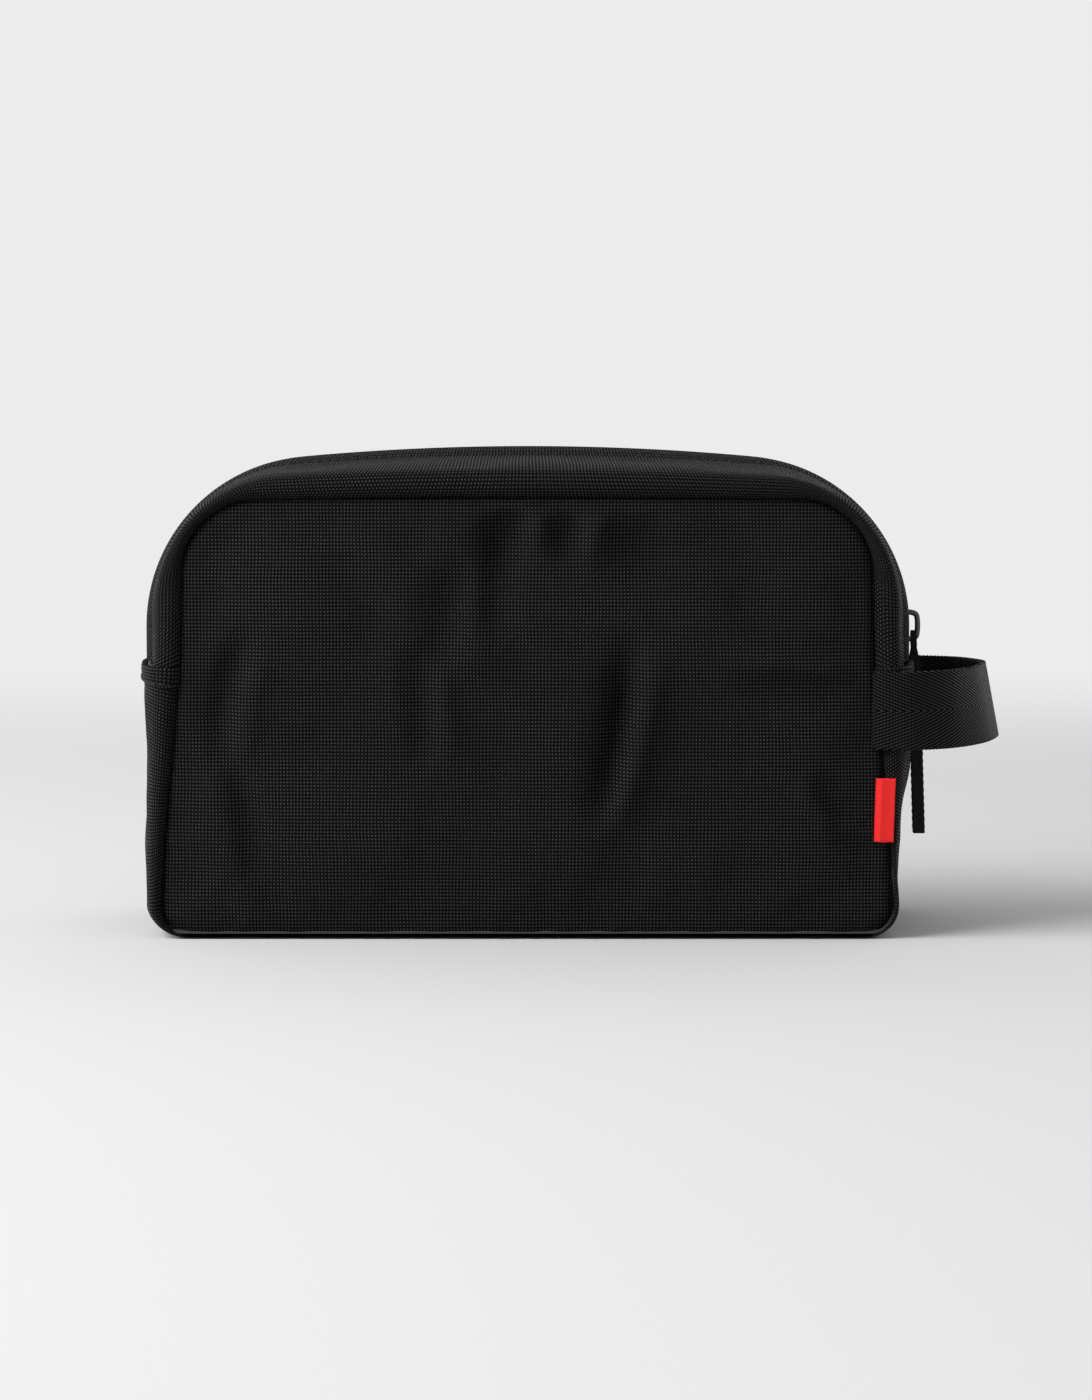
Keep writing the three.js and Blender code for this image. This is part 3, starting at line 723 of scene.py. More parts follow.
def enlarge(grid, shape):
    """Linear resampling of a grid to a larger one."""
    for axis in (0, 1):
        old, new = np.linspace(0, 1, grid.shape[axis]), np.linspace(0, 1, shape[axis])
        grid = np.apply_along_axis(lambda row: np.interp(new, old, row), axis, grid)
    return grid


PANEL_INSET = 0.2
PANEL_GRID = 151, 93
TUCK_RISE, TUCK_REACH = 3.1, 1.5
PILLOW_RISE, PILLOW_REACH = 3.0, 24.0
UNEVENNESS = 0.28


def panel_face(sign, folds, seed):
    """The panel's outer face as a grid, crowned by its padding and tucked in at the seam."""
    flat = coons(PANEL_INSET, *PANEL_GRID)
    x, z = flat[..., 0], flat[..., 1]
    edge = nearest_edge(x, z)
    s = along_outline(x, z)
    tuck = TUCK_RISE * (1 - np.exp(-edge / TUCK_REACH))
    pillow = PILLOW_RISE * (1 - np.exp(-((edge / PILLOW_REACH) ** 1.4)))
    inside = smooth(edge, 1.2, 9)
    relief = fold_height(x, z, folds) * inside + slow_waves(x, z, seed, 46, UNEVENNESS) * inside
    out = SEAM_Y - SEAM_ALLOWANCE + tuck + pillow + relief + seam_puckers(edge, s, seed, UNEVENNESS)
    out = out + simulated_cover(flat, out, edge, sign) * smooth(edge, 1.0, 7.0)
    return np.stack([x, sign * out, z], axis=2), edge


INNER_STEP = 3
INNER_TUCK = 4.0
INNER_CROWN = 2.6
INNER_SHRINK = [0.975, 1, 0.965]
CLEAR_OF_FOLDS = 0.3


def inner_ground(face, edge, sign):
    """A coarse, calm copy of the panel for the layers behind it, and how far out they may come."""
    deepest = np.abs(face[..., 1])
    for shift in (1, 2, 3):
        for axis in (0, 1):
            deepest = np.minimum(deepest, np.roll(deepest, shift, axis))
            deepest = np.minimum(deepest, np.roll(deepest, -shift, axis))
    calm, edge, deepest = (grid[::INNER_STEP, ::INNER_STEP].copy() for grid in (face, edge, deepest))
    tuck = SEAM_ALLOWANCE * (1 - np.clip(1 - edge / INNER_TUCK, 0, 1))
    calm[..., 1] = sign * (SEAM_Y - SEAM_ALLOWANCE + tuck + INNER_CROWN * smooth(edge, 0, 40))
    middle = np.array([0, 0, OUTLINE[:, 1].mean()])
    calm = middle + (calm - middle) * INNER_SHRINK
    return calm, np.minimum(np.abs(calm[..., 1]), deepest - CLEAR_OF_FOLDS)


def make_panel(word, sign, folds, seed):
    face, edge = panel_face(sign, folds, seed)
    uv = face[..., [0, 2]] * [sign * -1, 1]
    inner = face - [0, sign * SHELL, 0]
    piece = closed_sheet(f"{word}_panel_cloth", face, inner, uv, CLOTH)
    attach(piece, "bag")
    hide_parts(f"{word}_panel")
    calm, reach = inner_ground(face, edge, sign)
    for layer, depth, thick, material, slot in (
        ("foam", 1.4, PADDING, FOAM, "foam"),
        ("lining", 3.6, LINING_CLOTH, LINING, "lining"),
    ):
        upper = calm.copy()
        upper[..., 1] = sign * (reach - depth)
        under = upper - [0, sign * thick, 0]
        extra = closed_sheet(f"{word}_{layer}_sheet", upper, under, upper[..., [0, 2]], material)
        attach(extra, "bag")
        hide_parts(f"{word}_panel_{layer}")


make_panel("front", -1, FRONT_FOLDS, 3)
make_panel("back", 1, BACK_FOLDS, 8)


# ---- gusset cloth

# Half sections, as (share of the way from seam to crest, distance from the bag's middle plane).
LOWER_SECTION = [
    (-0.03, 38.2), (0.02, 39.7), (0.14, 41.6), (0.30, 42.2), (0.48, 41.2), (0.66, 37.4),
    (0.80, 30.5), (0.92, 18.0), (0.985, 7.0), (1.0, 0.0),
]
ZIP_SECTION = [
    (-0.02, 38.2), (0.02, 39.8), (0.14, 41.7), (0.32, 42.4), (0.50, 41.4), (0.60, 38.2), (0.68, 32.0),
    (0.735, 24.0), (0.79, 17.0), (0.83, 13.2), (0.90, 11.0), (0.965, 8.6), (1.0, 7.0),
    (0.985, 6.25), (0.93, 6.05),
]
HEM_STITCH_Y = 12.6
# These turn a section's shares into millimetres, for even spacing and UVs.
LOWER_SCALE = [14, 1]
ZIP_SCALE = [15, 1]
ZIP_COLUMNS = 46
TOP_COLUMN = 30


def gusset_grid(run, section, depth=0.0, floor=None):
    """Rows follow the run and columns the section. depth goes into the wall."""
    e, y = section[:, 0][None, :], section[:, 1][None, :]
    ground = run.seam[:, None] + (run.crest - run.seam)[:, None] * e[..., None]
    share = np.clip(e, 0, 1)
    ground = ground - run.out[:, None] * (share * depth)[..., None]
    across = y - np.sign(y) * (1 - share**2) * depth
    z = ground[..., 1] if floor is None else np.maximum(ground[..., 1], floor)
    return np.stack([ground[..., 0], np.broadcast_to(across, z.shape), z], axis=2)


def gusset_uv(run, section):
    run_s = run.s[:, None]
    section_s = lengths(section * LOWER_SCALE)[None, :]
    return np.stack(np.broadcast_arrays(run_s, section_s), axis=2)


def lower_section(count):
    half = catmull(LOWER_SECTION, 400)
    half = even(half * LOWER_SCALE, count) / LOWER_SCALE
    front = half * [1, -1]
    return np.vstack([front, half[::-1][1:]])


def make_lower_gusset():
    section = lower_section(40)
    run = LOWER_RUN
    face = gusset_grid(run, section, 0.0, 0.0)
    normal = normals_towards(face, len(section) // 2, (0, 0, -1))
    x, y, z = face[..., 0], face[..., 1], face[..., 2]
    free = smooth(z, 2, 14) * smooth(np.abs(np.abs(y) - SEAM_Y), 0.5, 8) * smooth(SPLIT_Z - z, 1, 14)
    relief = slow_waves(y, z + 300 * (x > 0), 5, 30, 0.45) * free
    from_seam = np.abs(np.abs(y) - SEAM_Y) + 2 * (1 - smooth(z, 1, 6))
    relief += seam_puckers(from_seam, run.s[:, None] + 0 * y, 6, 0.16)
    # The top edge is folded over and sewn down: thick above the stitches and rounded at its rim.
    fold = 0.9 * smooth(z, SPLIT_Z - 6.5, SPLIT_Z - 4.5) * (1 - 0.35 * smooth(z, SPLIT_Z - 1.2, SPLIT_Z))
    face = face + normal * (relief + fold)[..., None]
    face[..., 2] = np.maximum(face[..., 2], 0.0)
    inner = gusset_grid(run, section, SHELL + 0.2, SHELL)
    piece = closed_sheet("lower_gusset_cloth", face, inner, gusset_uv(run, section), CLOTH)
    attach(piece, "bag")
    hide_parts("lower_gusset")
    plain = lower_section(14)
    coarse = Run(run.seam[::4], run.crest[::4])
    for layer, depth, thick, material, slot in (
        ("foam", 1.5, PADDING, FOAM, "foam"),
        ("lining", 3.4, LINING_CLOTH, LINING, "lining"),
    ):
        keep = slice(2, -2)
        upper = gusset_grid(coarse, plain, depth, depth)[:, keep]
        under = gusset_grid(coarse, plain, depth + thick, depth + thick)[:, keep]
        uv = gusset_uv(coarse, plain)[:, keep]
        extra = closed_sheet(f"lower_{layer}_sheet", upper, under, uv, material)
        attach(extra, "bag")
        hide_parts(f"lower_gusset_{layer}")
    return face


LOWER_FACE = make_lower_gusset()


def bend_with_flap(piece):
    """Bakes the piece's placement into its mesh and leaves it unparented."""
    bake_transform(piece)


def zip_nodes(word, layer):
    return [f"{word}_zip_{layer}_{part}" for part in ("left", "top", "right")]


def zip_section():
    half = catmull(ZIP_SECTION, 500)
    return even(half * ZIP_SCALE, ZIP_COLUMNS) / ZIP_SCALE


def make_zip_strip(word, sign, seed):
    section = zip_section() * [1, sign]
    run = ZIP_RUN
    face = gusset_grid(run, section)
    normal = normals_towards(face, TOP_COLUMN, (0, 0, 1))
    y = np.abs(face[..., 1])
    s = run.s[:, None] + 0 * y
    free = smooth(y, 14, 22) * (1 - smooth(y, 36, 40))
    relief = slow_waves(s, y, seed, 34, 0.35) * free
    groove = -0.35 * np.exp(-(((y - HEM_STITCH_Y) / 0.7) ** 2))
    ripple = 0.10 * np.sin(2 * math.pi * s / 3.1) * np.exp(-(((y - HEM_STITCH_Y) / 2.0) ** 2))
    face = face + normal * (relief + groove + ripple)[..., None]
    inner = gusset_grid(run, section, SHELL)
    piece = closed_sheet(f"{word}_zip_strip", face, inner, gusset_uv(run, section), CLOTH)
    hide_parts(*zip_nodes(word, "gusset"))
    bend_with_flap(piece)
    return face


ZIP_FACES = {
    "front": make_zip_strip("front", -1, 11),
    "back": make_zip_strip("back", 1, 12),
}


# ---- bands, cords and stitches

def unit(v):
    return v / np.maximum(np.linalg.norm(v, axis=-1, keepdims=True), 1e-9)


def band_ring(columns):
    """A rounded flat section as (across, through) from -1 to 1, starting on the outer face."""
    across = np.linspace(-1, 1, columns)
    face = np.stack([across * 0.97, np.ones(columns)], axis=1)
    end = np.array([(0.992, 0.7), (1.0, 0.0), (0.992, -0.7)])
    return np.vstack([face, end, -face, -end])


def band(name, centre, across, out, half_width, half_thick, material, columns=9, closed=False):
    """A flat strap swept along a line, with rounded edges. Widths may change along it."""
    centre = np.asarray(centre, float)
    rows = len(centre)
    across = unit(np.broadcast_to(across, (rows, 3)))
    out = unit(np.broadcast_to(out, (rows, 3)))
    ring = band_ring(columns)
    wide = np.broadcast_to(half_width, rows)[:, None, None] * ring[None, :, :1]
    thick = np.broadcast_to(half_thick, rows)[:, None, None] * ring[None, :, 1:]
    grid = centre[:, None] + across[:, None] * wide + out[:, None] * thick
    n = len(ring)
    k = np.arange(n)
    faces = []
    for i in range(rows if closed else rows - 1):
        j = (i + 1) % rows
        faces += [(i * n + a, j * n + a, j * n + b, i * n + b) for a, b in zip(k, np.roll(k, -1))]
    if not closed:
        faces += [tuple(k[::-1]), tuple(k + (rows - 1) * n)]
    uv = np.stack(np.broadcast_arrays(lengths(centre)[:, None], wide[..., 0]), axis=2)
    faces = [tuple(int(v) for v in face) for face in faces]
    piece = make_mesh(name, grid.reshape(-1, 3), faces, uv.reshape(-1, 2), material)
    face_outwards(piece)
    return piece


def ring_faces(rings, sides):
    """Faces of a stack of rings, with a cap at each end."""
    k = np.arange(sides)
    faces = [(i * sides + a, i * sides + b, (i + 1) * sides + b, (i + 1) * sides + a)
             for i in range(rings - 1) for a, b in zip(k, np.roll(k, -1))]
    faces += [tuple(k[::-1]), tuple(k + (rings - 1) * sides)]
    return [tuple(int(v) for v in face) for face in faces]


def tube_parts(path, radius, sides):
    """Points and faces of a round cord along a path."""
    path = np.asarray(path, float)
    rows = len(path)
    along = unit(np.gradient(path, axis=0))
    side = np.empty_like(path)
    guess = np.array([0.0, 1.0, 0.0]) if abs(along[0, 1]) < 0.9 else np.array([1.0, 0.0, 0.0])
    for i in range(rows):
        guess = guess - (guess @ along[i]) * along[i]
        guess /= np.linalg.norm(guess)
        side[i] = guess
    up = np.cross(along, side)
    angle = np.linspace(0, 2 * math.pi, sides, endpoint=False)
    radius = np.broadcast_to(radius, rows)[:, None, None]
    ring = side[:, None] * np.cos(angle)[None, :, None] + up[:, None] * np.sin(angle)[None, :, None]
    points = (path[:, None] + radius * ring).reshape(-1, 3)
    return points, ring_faces(rows, sides)


def tubes(name, paths, radii, sides, material):
    points, faces, count = [], [], 0
    for path, radius in zip(paths, radii):
        p, f = tube_parts(path, radius, sides)
        points.append(p)
        faces += [tuple(v + count for v in face) for face in f]
        count += len(p)
    return make_mesh(name, np.vstack(points), faces, None, material)


STITCH_PROFILE = np.array([(0.0, 0.3, -0.22), (0.1, 0.85, 0.0), (0.35, 1.0, 0.12), (0.65, 1.0, 0.12),
                           (0.9, 0.85, 0.0), (1.0, 0.3, -0.22)])


def stitch_row(line, normal, pitch=3.0, radius=0.24):
    """Paths and radii of one row of stitches lying on a surface."""
    s = lengths(line)
    count = int(s[-1] / pitch)
    paths, radii = [], []
    for k in range(count):
        at = (k + 0.1 + 0.8 * STITCH_PROFILE[:, 0]) * pitch
        paths.append(sample(line, s, at) + sample(normal, s, at) * STITCH_PROFILE[:, 2:])
        radii.append(radius * STITCH_PROFILE[:, 1])
    return paths, radii


# ---- zip

def crest_grid(run, y, depth):
    """Points at distance y from the middle plane and depth under the crest."""
    y, depth = np.broadcast_arrays(np.asarray(y, float), np.asarray(depth, float))
    ground = run.crest[:, None] - run.out[:, None] * depth[None, :, None]
    return np.stack([ground[..., 0], np.broadcast_to(y, ground.shape[:2]), ground[..., 1]], axis=2)


TAPE_SECTION = np.array([(14.0, 4.8), (11.0, 3.95), (8.0, 3.25), (5.0, 2.8), (3.0, 2.65), (0.12, 2.65)])
TAPE_THICK = 0.45
ZIP_LINING_DEPTH = 2.4
COIL_PITCH = 1.5
COIL_CENTRE = 1.2
COIL_HALF = 1.15
COIL_RISE = 0.4
COIL_DEPTH = 1.9
COIL_WIRE = 0.27


def trimmed(run, from_z, step=1):
    """The part of the zip's run above a height."""
    keep = run.crest[:, 1] > from_z
    return Run(run.seam[keep][::step], run.crest[keep][::step])


def make_tape(word, sign):
    run = trimmed(ZIP_RUN, SPLIT_Z - 4)
    y = TAPE_SECTION[:, 0] * sign
    face = crest_grid(run, y, TAPE_SECTION[:, 1])
    under = crest_grid(run, y, TAPE_SECTION[:, 1] + TAPE_THICK)
    section_s = lengths(TAPE_SECTION)
    uv = np.stack(np.broadcast_arrays(run.s[:, None], section_s[None, :]), axis=2)
    piece = closed_sheet(f"{word}_zip_tape", face, under, uv, TAPE)
    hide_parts(*zip_nodes(word, "tape"))
    bend_with_flap(piece)


def make_coil(word, sign, phase):
    run = trimmed(ZIP_RUN, SPLIT_Z + 3)
    s = lengths(run.crest)
    at = np.arange(0, s[-1], COIL_PITCH / 8)
    crest, out = sample(run.crest, s, at), sample(run.out, s, at)
    turn = 2 * math.pi * at / COIL_PITCH + phase
    depth = COIL_DEPTH - COIL_RISE * np.sin(turn)
    ground = crest - out * depth[:, None]
    y = sign * (COIL_CENTRE - COIL_HALF * np.cos(turn))
    path = np.stack([ground[:, 0], y, ground[:, 1]], axis=1)
    piece = tubes(f"{word}_zip_coil", [path], [COIL_WIRE], 6, COIL)
    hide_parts(*zip_nodes(word, "coil"))
    bend_with_flap(piece)


def make_zip_lining(word, sign):
    run = trimmed(ZIP_RUN, SPLIT_Z + 1, 3)
    section = zip_section()
    section = section[(section[:, 0] > 0.06) & (section[:, 1] > 14.5)][::2] * [1, sign]
    face = gusset_grid(run, section, ZIP_LINING_DEPTH)
    under = gusset_grid(run, section, ZIP_LINING_DEPTH + LINING_CLOTH)
    piece = closed_sheet(f"{word}_zip_lining", face, under, gusset_uv(run, section), LINING)
    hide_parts(*zip_nodes(word, "lining"))
    bend_with_flap(piece)


def make_hem_stitches(word):
    face = ZIP_FACES[word]
    normal = normals_towards(face, TOP_COLUMN, (0, 0, 1))
    y = np.abs(face[len(face) // 2, :, 1])
    # The section passes this distance once on its way to the hem: only its second half counts.
    column = int(np.argmin(np.abs(y - HEM_STITCH_Y) + 50 * (np.arange(len(y)) < len(y) // 2)))
    paths, radii = stitch_row(face[:, column], normal[:, column])
    piece = tubes(f"{word}_hem_stitching", paths, radii, 6, THREAD)
    bend_with_flap(piece)


for word, sign, phase in (("front", -1, 0.0), ("back", 1, math.pi)):
    make_tape(word, sign)
    make_coil(word, sign, phase)
    make_zip_lining(word, sign)
    make_hem_stitches(word)


def make_fold_stitches():
    """The row of stitches under the lower gusset's folded top edge, at both ends of the bag."""
    normal = surface_normals(LOWER_FACE)
    paths, radii = [], []
    half = len(LOWER_FACE) // 2
    for rows, outward in ((slice(0, half), -1), (slice(half, None), 1)):
        crest_z = LOWER_RUN.crest[rows, 1]
        row = int(np.argmin(np.abs(crest_z - (SPLIT_Z - 4.6)))) + (rows.start or 0)
        line, lift = LOWER_FACE[row], normal[row]
        middle = len(line) // 2
        lift = lift * outward * np.sign(lift[middle, 0])
        p, r = stitch_row(line[2:-2], lift[2:-2])
        paths += p
        radii += r
    piece = tubes("fold_stitching", paths, radii, 6, THREAD)
    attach(piece, "bag")


make_fold_stitches()


def plate(name, outline, x_low, x_high, bevel, material):
    """A flat metal plate facing +X with bevelled edges. outline is (y, z) points."""
    outline = np.asarray(outline, float)
    middle = outline.mean(axis=0)
    inner = middle + (outline - middle) * (1 - bevel / np.linalg.norm(outline - middle, axis=1))[:, None]
    rings = [(inner, x_low), (outline, x_low + bevel), (outline, x_high - bevel), (inner, x_high)]
    n = len(outline)
    points = np.vstack([np.column_stack([np.full(n, x), line]) for line, x in rings])
    piece = make_mesh(name, points, ring_faces(len(rings), n), None, material)
    face_outwards(piece)
    return piece


def merge(pieces):
    """One object from several meshes that share a material."""
    kept = pieces[0]
    with bpy.context.temp_override(active_object=kept, object=kept, selected_objects=pieces,
                                   selected_editable_objects=pieces):
        bpy.ops.object.join()
    return kept


PLATE_THICK = 1.0
PLATE_BEVEL = 0.28
POST_HALF = 0.1
BRIDGE_WIRE = 0.9


def make_slider():
    y0, z0, z1 = SLIDER_HIGH[1], SLIDER_LOW[2], SLIDER_HIGH[2]
    shape = [(0, z0), (0.5 * y0, z0 + 0.15), (0.76 * y0, z0 + 1.2), (0.80 * y0, z0 + 4.6),
             (y0, z0 + 7.6), (0.96 * y0, z1 - 0.9), (0.62 * y0, z1 - 0.1), (0, z1 - 0.9)]
    half = even(catmull(shape, 40), 24)
    outline = np.vstack([half, (half * [-1, 1])[::-1][1:-1]])
    top = plate("slider_plates", outline, SLIDER_HIGH[0] - PLATE_THICK, SLIDER_HIGH[0], PLATE_BEVEL, METAL)
    low = plate("slider_low", outline, SLIDER_LOW[0], SLIDER_LOW[0] + PLATE_THICK, PLATE_BEVEL, METAL)
    foot, head = z1 - 5.4, z1 - 1.6
    post = plate("slider_post", [(-POST_HALF, foot), (POST_HALF, foot), (POST_HALF, head), (-POST_HALF, head)],
                 SLIDER_LOW[0] + 0.6, SLIDER_HIGH[0] - 0.6, 0.02, METAL)
    rails = []
    inner = outline * [0.95, 1]
    for side in (1, -1):
        rail = inner[(inner[:, 0] * side > 0.62 * y0)]
        rail = rail[np.argsort(rail[:, 1])]
        path = np.column_stack([np.full(len(rail), SLIDER_HIGH[0] - 1.05), rail])
        rails.append(tubes("slider_rail", [path], [0.32], 8, METAL))
    piece = merge([top, low, post, *rails])
    piece.name = "zip_slider"
    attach(piece, "slider")
    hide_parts("slider_body")


def make_bridge():
    box_low, box_high = box_mm("slider_bridge")
    x0, x1 = SLIDER_HIGH[0] - 0.3, box_high[0] - BRIDGE_WIRE
    low, high = box_low[2] + BRIDGE_WIRE, box_high[2] - BRIDGE_WIRE
    turn = [(x0, low + 0.1), (x0 + 1.5, low), (x1 - 0.5, low + 0.7), (x1, low + 2.6),
            (x1, high - 2.6), (x1 - 0.5, high - 0.7), (x0 + 1.5, high), (x0, high - 0.1)]
    line = even(catmull(turn, 120), 48)
    path = np.column_stack([line[:, 0], 0 * line[:, 0], line[:, 1]])
    piece = tubes("slider_loop", [path], [BRIDGE_WIRE], 16, METAL)
    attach(piece, "slider")
    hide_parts("slider_bridge")


PULL_TOP_X = 126.35
PULL_LEAN = 0.033
PULL_HALF_WIDTH = 2.0
PULL_HALF_THICK = 0.56


def pull_x(z):
    """The pull leans out towards its lower end."""
    return PULL_TOP_X + PULL_LEAN * (PULL_HIGH[2] - 5 - z)


def make_pull():
    """A folded tape: two layers sewn together, parted at the top round the slider's loop."""
    low, high = PULL_LOW[2], PULL_HIGH[2]
    side = [(-0.62, low + 0.5), (-0.62, low + 8), (-0.62, high - 12), (-0.75, high - 8), (-1.3, high - 5.4),
            (-1.62, high - 3.2), (-1.2, high - 1.2), (0, high - 0.45)]
    line = even(catmull(side + [(-y, z) for y, z in side[-2::-1]], 900), 420)
    y, z = line[:, 0], line[:, 1]
    centre = np.column_stack([pull_x(z), y, z])
    along = unit(np.gradient(centre, axis=0))
    out = np.cross([1.0, 0, 0], along) * -1
    narrow = 1 - 0.52 * smooth(z, high - 11, high - 5.5)
    corner = np.sqrt(np.clip(1 - ((low + 1.1 - z) / 1.1).clip(0, 1) ** 2, 0.2, 1))
    stitch = 1 + 0.04 * np.sin(2 * math.pi * z / 2.4)
    half_width = PULL_HALF_WIDTH * narrow * corner * stitch
    piece = band("pull_tape", centre, (1, 0, 0), out, half_width, PULL_HALF_THICK * narrow, TAPE, 9)
    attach(piece, "pull")
    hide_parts("zip_pull")
    rows = []
    for offset in (-1.4, 1.4):
        at = np.linspace(low + 2, high - 14, 160)
        line = np.column_stack([pull_x(at) + offset, np.full(160, -1.2), at])
        rows.append(stitch_row(line, np.tile([0.0, -1, 0], (160, 1)), 2.0, 0.14))
    sewn = tubes("pull_stitching", rows[0][0] + rows[1][0], rows[0][1] + rows[1][1], 5, THREAD)
    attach(sewn, "pull")


def make_stops():
    for side, word in ((1, "right"), (-1, "left")):
        low, high = box_mm(f"zip_stop_{word}")
        middle = (low + high) / 2
        half = (high - low) / 2
        y = np.linspace(-1, 1, 13)
        round_off = np.sqrt(np.clip(1 - np.abs(y) ** 6, 0.12, 1))
        centre = np.column_stack([np.full(13, middle[0]), y * half[1], np.full(13, middle[2])])
        piece = band(f"stop_{word}", centre, (0, 0, 1), (side, 0, 0), half[2] * round_off,
                     half[0] * round_off, COIL, 5)
        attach(piece, "bag")
        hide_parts(f"zip_stop_{word}")


make_slider()
make_bridge()
make_pull()
make_stops()


# ---- webbing loop and label

LOOP_PATH = [
    (110.2, -40.4), (112.0, -42.3), (115.7, -43.35), (123.6, -42.9), (136.2, -33.4), (146.9, -12.5),
    (152.4, 8.0), (151.2, 23.0), (143.6, 37.0), (130.0, 43.0), (115.7, 43.35), (112.0, 42.3), (110.2, 40.4),
]
LOOP_HALF_WIDTH = 12.5
LOOP_HALF_THICK = 0.8
LOOP_LEAN = 2.4
SELVEDGE_PITCH = 1.35
LABEL_HALF_THICK = 0.42


def make_loop():
    line = even(catmull(LOOP_PATH, 1200), 520)
    middle_z = (LOOP_LOW[2] + LOOP_HIGH[2]) / 2
    along = unit(np.gradient(line, axis=0))
    out = np.column_stack([along[:, 1], -along[:, 0]])
    s = lengths(line)
    bulge = np.sin(np.pi * s / s[-1]) ** 2
    ripple = 0.35 * np.sin(2 * math.pi * s / 41 + 0.6) * bulge
    centre = np.column_stack([line + out * ripple[:, None], np.full(len(line), middle_z)])
    lean = bulge * LOOP_LEAN / LOOP_HALF_WIDTH
    across = np.column_stack([-out * lean[:, None], np.ones(len(line))])
    outward = np.column_stack([out, lean])
    wide = LOOP_HALF_WIDTH + 0.11 * np.sin(2 * math.pi * s / SELVEDGE_PITCH)
    piece = band("webbing_loop", centre, across, outward, wide, LOOP_HALF_THICK, WEBBING, 25)
    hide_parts("handle_loop", "handle_end_front", "handle_end_back")
    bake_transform(piece)


def make_label():
    low, high = LABEL_LOW, LABEL_HIGH
    t = np.linspace(0, 1, 22)
    x = low[0] - 0.9 + (high[0] - low[0] + 0.3) * t
    y = (low[1] + high[1]) / 2 + 1.2 * (1 - smooth(t, 0, 0.3)) - 0.12 * np.sin(2 * math.pi * t)
    centre = np.column_stack([x, y, np.full(22, (low[2] + high[2]) / 2)])
    fold = np.sqrt(np.clip(1 - ((t - 0.93) / 0.075).clip(0, 1) ** 2, 0.1, 1))
    tall = (high[2] - low[2]) / 2 * (1 - 0.008 * np.sin(3 * math.pi * t))
    piece = band("red_label", centre, (0.03, 0, 1), (0, -1, 0), tall, LABEL_HALF_THICK * fold, LABEL, 15)
    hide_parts("seam_label")
    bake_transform(piece)


make_loop()
make_label()


# ---- inside: bindings and pocket

BINDING_INSET = 3.2
BINDING_Y = 32.5
BINDING_POINTS = 240
POCKET_Y = 36.0
POCKET_GAPE = 1.6


def make_bindings():
    line = inset_outline(BINDING_INSET)
    line = even(np.vstack([line, line[:1]]), BINDING_POINTS + 1)[:-1]
    along = tangents(line)
    out = np.column_stack([along[:, 1], 0 * along[:, 0], -along[:, 0]])
    for word, sign in (("front", -1), ("back", 1)):
        y = sign * (BINDING_Y + 0.15 * np.sin(np.arange(BINDING_POINTS) / 7.0))
        centre = np.column_stack([line[:, 0], y, line[:, 1]])
        piece = band(f"{word}_binding_tape", centre, (0, sign, 0), out, 1.0, 0.55, BINDING, 7, closed=True)
        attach(piece, "bag")
        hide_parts(f"seam_binding_{word}")


def make_pocket():
    low, high = box_mm("slip_pocket")
    x, z = np.meshgrid(np.linspace(low[0], high[0], 61), np.linspace(low[2], high[2], 31), indexing="ij")
    rise = (z - low[2]) / (high[2] - low[2])
    open_top = (1 - (x / high[0]) ** 4) * smooth(rise)
    y = POCKET_Y - POCKET_GAPE * open_top - slow_waves(x, z, 21, 40, 0.2) * open_top
    hem = 0.35 * smooth(rise, 0.875, 0.89)
    face = np.stack([x, y - hem, z], axis=2)
    under = np.stack([x, y + LINING_CLOTH, z], axis=2)
    piece = closed_sheet("slip_pocket_cloth", face, under, face[..., [0, 2]], LINING)
    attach(piece, "bag")
    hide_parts("slip_pocket")


make_bindings()
make_pocket()


# ---- floor, light and camera

CAMERA_AT = Vector((0.0059, -1.300, 0.168))
CAMERA_PITCH = 0.0727
LENS = 102.2


def add_camera():
    camera = bpy.data.objects.new("camera", bpy.data.cameras.new("camera"))
    camera.data.lens = LENS
    camera.data.sensor_width = 36.0
    camera.data.clip_end = 60
    camera.location = CAMERA_AT
    camera.rotation_euler = (math.pi / 2 - CAMERA_PITCH, 0, 0)
    bpy.context.scene.collection.objects.link(camera)
    bpy.context.scene.camera = camera


def add_area(name, at, aim, size, power, colour=(1, 1, 1)):
    light = bpy.data.lights.new(name, "AREA")
    light.shape = "RECTANGLE"
    light.size, light.size_y = size
    light.energy = power
    light.color = colour
    lamp = bpy.data.objects.new(name, light)
    lamp.location = at
    lamp.rotation_euler = (Vector(aim) - Vector(at)).to_track_quat("-Z", "Y").to_euler()
    bpy.context.scene.collection.objects.link(lamp)


FLOOR_TONE = 0.74
BACKDROP_TONE = 0.84
FILL_TONE = 0.38


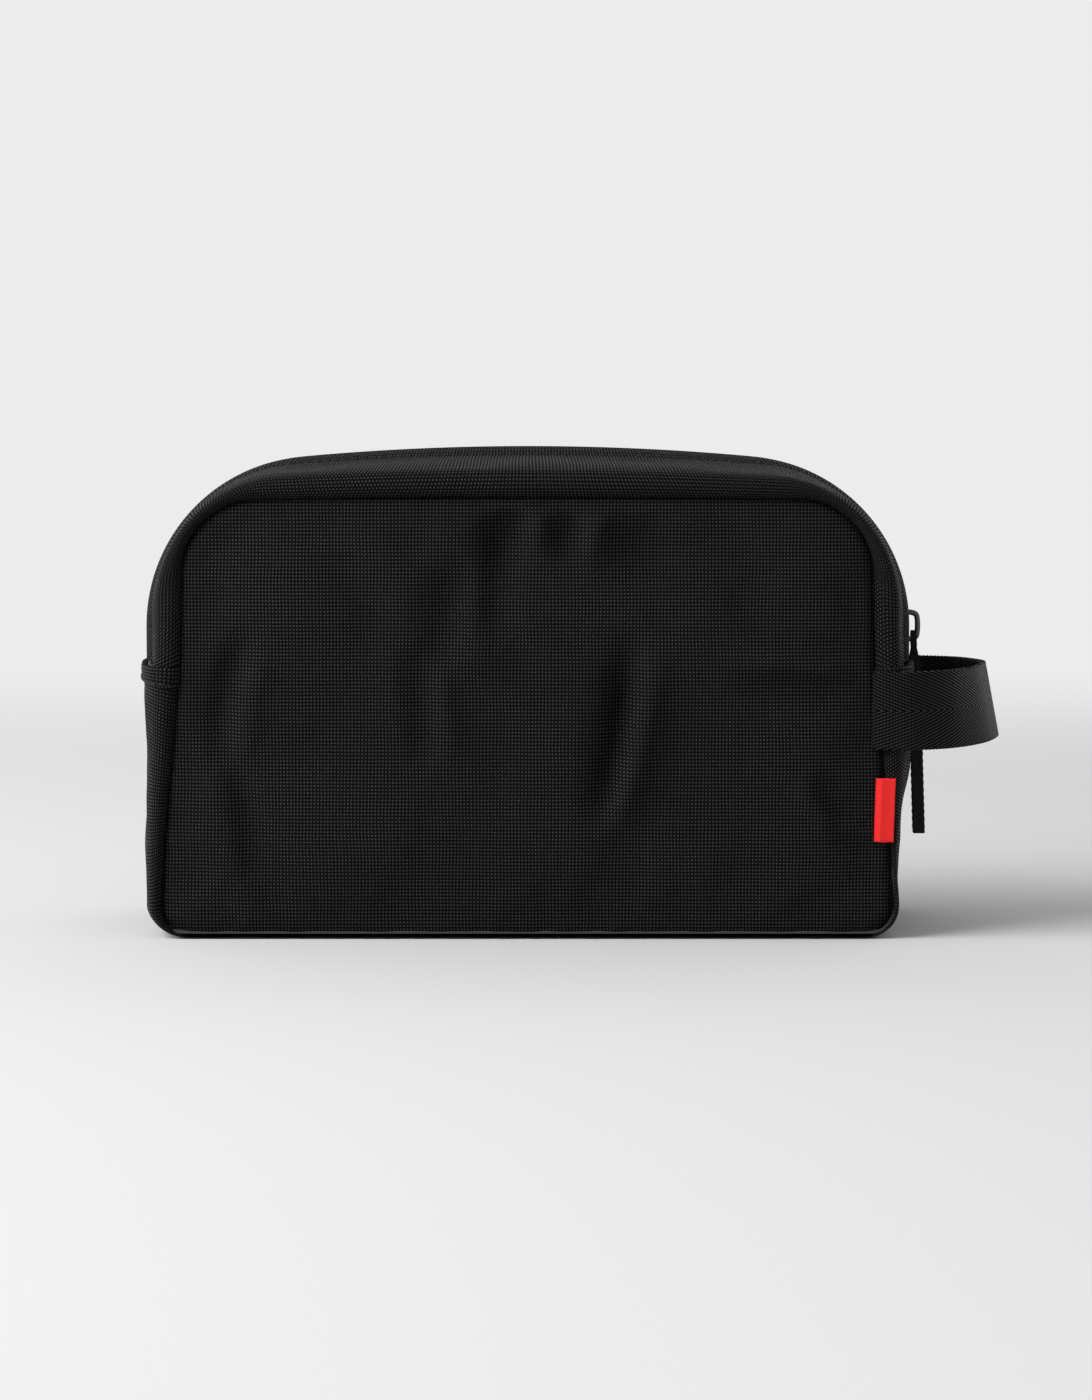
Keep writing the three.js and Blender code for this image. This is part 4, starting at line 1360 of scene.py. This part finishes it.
def add_floor():
    """A pale floor that fades into the backdrop's brightness away from the bag."""
    n = Nodes("studio_floor")
    position = n.position()
    away = n.node("ShaderNodeVectorMath", operation="LENGTH")
    n.link(position, away.inputs[0])
    behind = n.node("ShaderNodeSeparateXYZ")
    n.link(position, behind.inputs[0])
    far = n.math("MAXIMUM", n.ramp(behind.outputs["Y"], 0.15, 1.5), n.ramp(away.outputs["Value"], 1.2, 3.5))
    speckle = n.ramp(n.noise(position, 900.0), 0.2, 0.8, 0.985, 1.0)
    tone = n.math("MULTIPLY", n.ramp(far, 0.0, 1.0, FLOOR_TONE, 0.0), speckle)
    n.finish(n.mix(tone, grey(0.0), grey(1.0)), 0.7, Specular_IOR_Level=0.0)
    n.shader.inputs["Emission Color"].default_value = grey(1.0)
    n.feed(n.shader.inputs["Emission Strength"], n.ramp(far, 0.0, 1.0, 0.0, BACKDROP_TONE))
    size = 9000
    points = [(-size, -size, 0), (size, -size, 0), (size, size, 0), (-size, size, 0)]
    floor = make_mesh("studio_floor", points, [(0, 1, 2, 3)], None, n.material)


def add_backdrop():
    """An evenly lit wall behind the floor."""
    n = Nodes("studio_backdrop")
    grain = n.ramp(n.noise(n.position(), 2.0), 0.2, 0.8, 0.996, 1.0)
    n.finish(grey(0.0), 1.0, Specular_IOR_Level=0.0)
    n.shader.inputs["Emission Color"].default_value = grey(1.0)
    n.feed(n.shader.inputs["Emission Strength"], n.math("MULTIPLY", grain, BACKDROP_TONE))
    wide, tall, back = 9000, 5000, 3500
    points = [(-wide, back, 0), (wide, back, 0), (wide, back, tall), (-wide, back, tall)]
    make_mesh("studio_backdrop", points, [(0, 1, 2, 3)], None, n.material)
    around, height, count = 8500, 3000, 96
    angle = np.linspace(0, 2 * math.pi, count, endpoint=False)
    ring = np.column_stack([around * np.cos(angle), around * np.sin(angle), 0 * angle])
    faces = [(k, (k + 1) % count, (k + 1) % count + count, k + count) for k in range(count)]
    points = np.vstack([ring, ring + [0, 0, height]])
    make_mesh("studio_surround", points, faces, None, n.material)


def add_world():
    world = bpy.data.worlds.new("studio")
    world.use_nodes = True
    background = world.node_tree.nodes["Background"]
    background.inputs["Color"].default_value = (1.0, 0.99, 1.0, 1)
    background.inputs["Strength"].default_value = FILL_TONE
    bpy.context.scene.world = world


bpy.context.scene.view_settings.view_transform = "Standard"
add_camera()
add_world()
add_floor()
add_backdrop()
add_area("key", (-1.6, -0.75, 1.25), (0, 0, 0.06), (1.7, 1.7), 56)
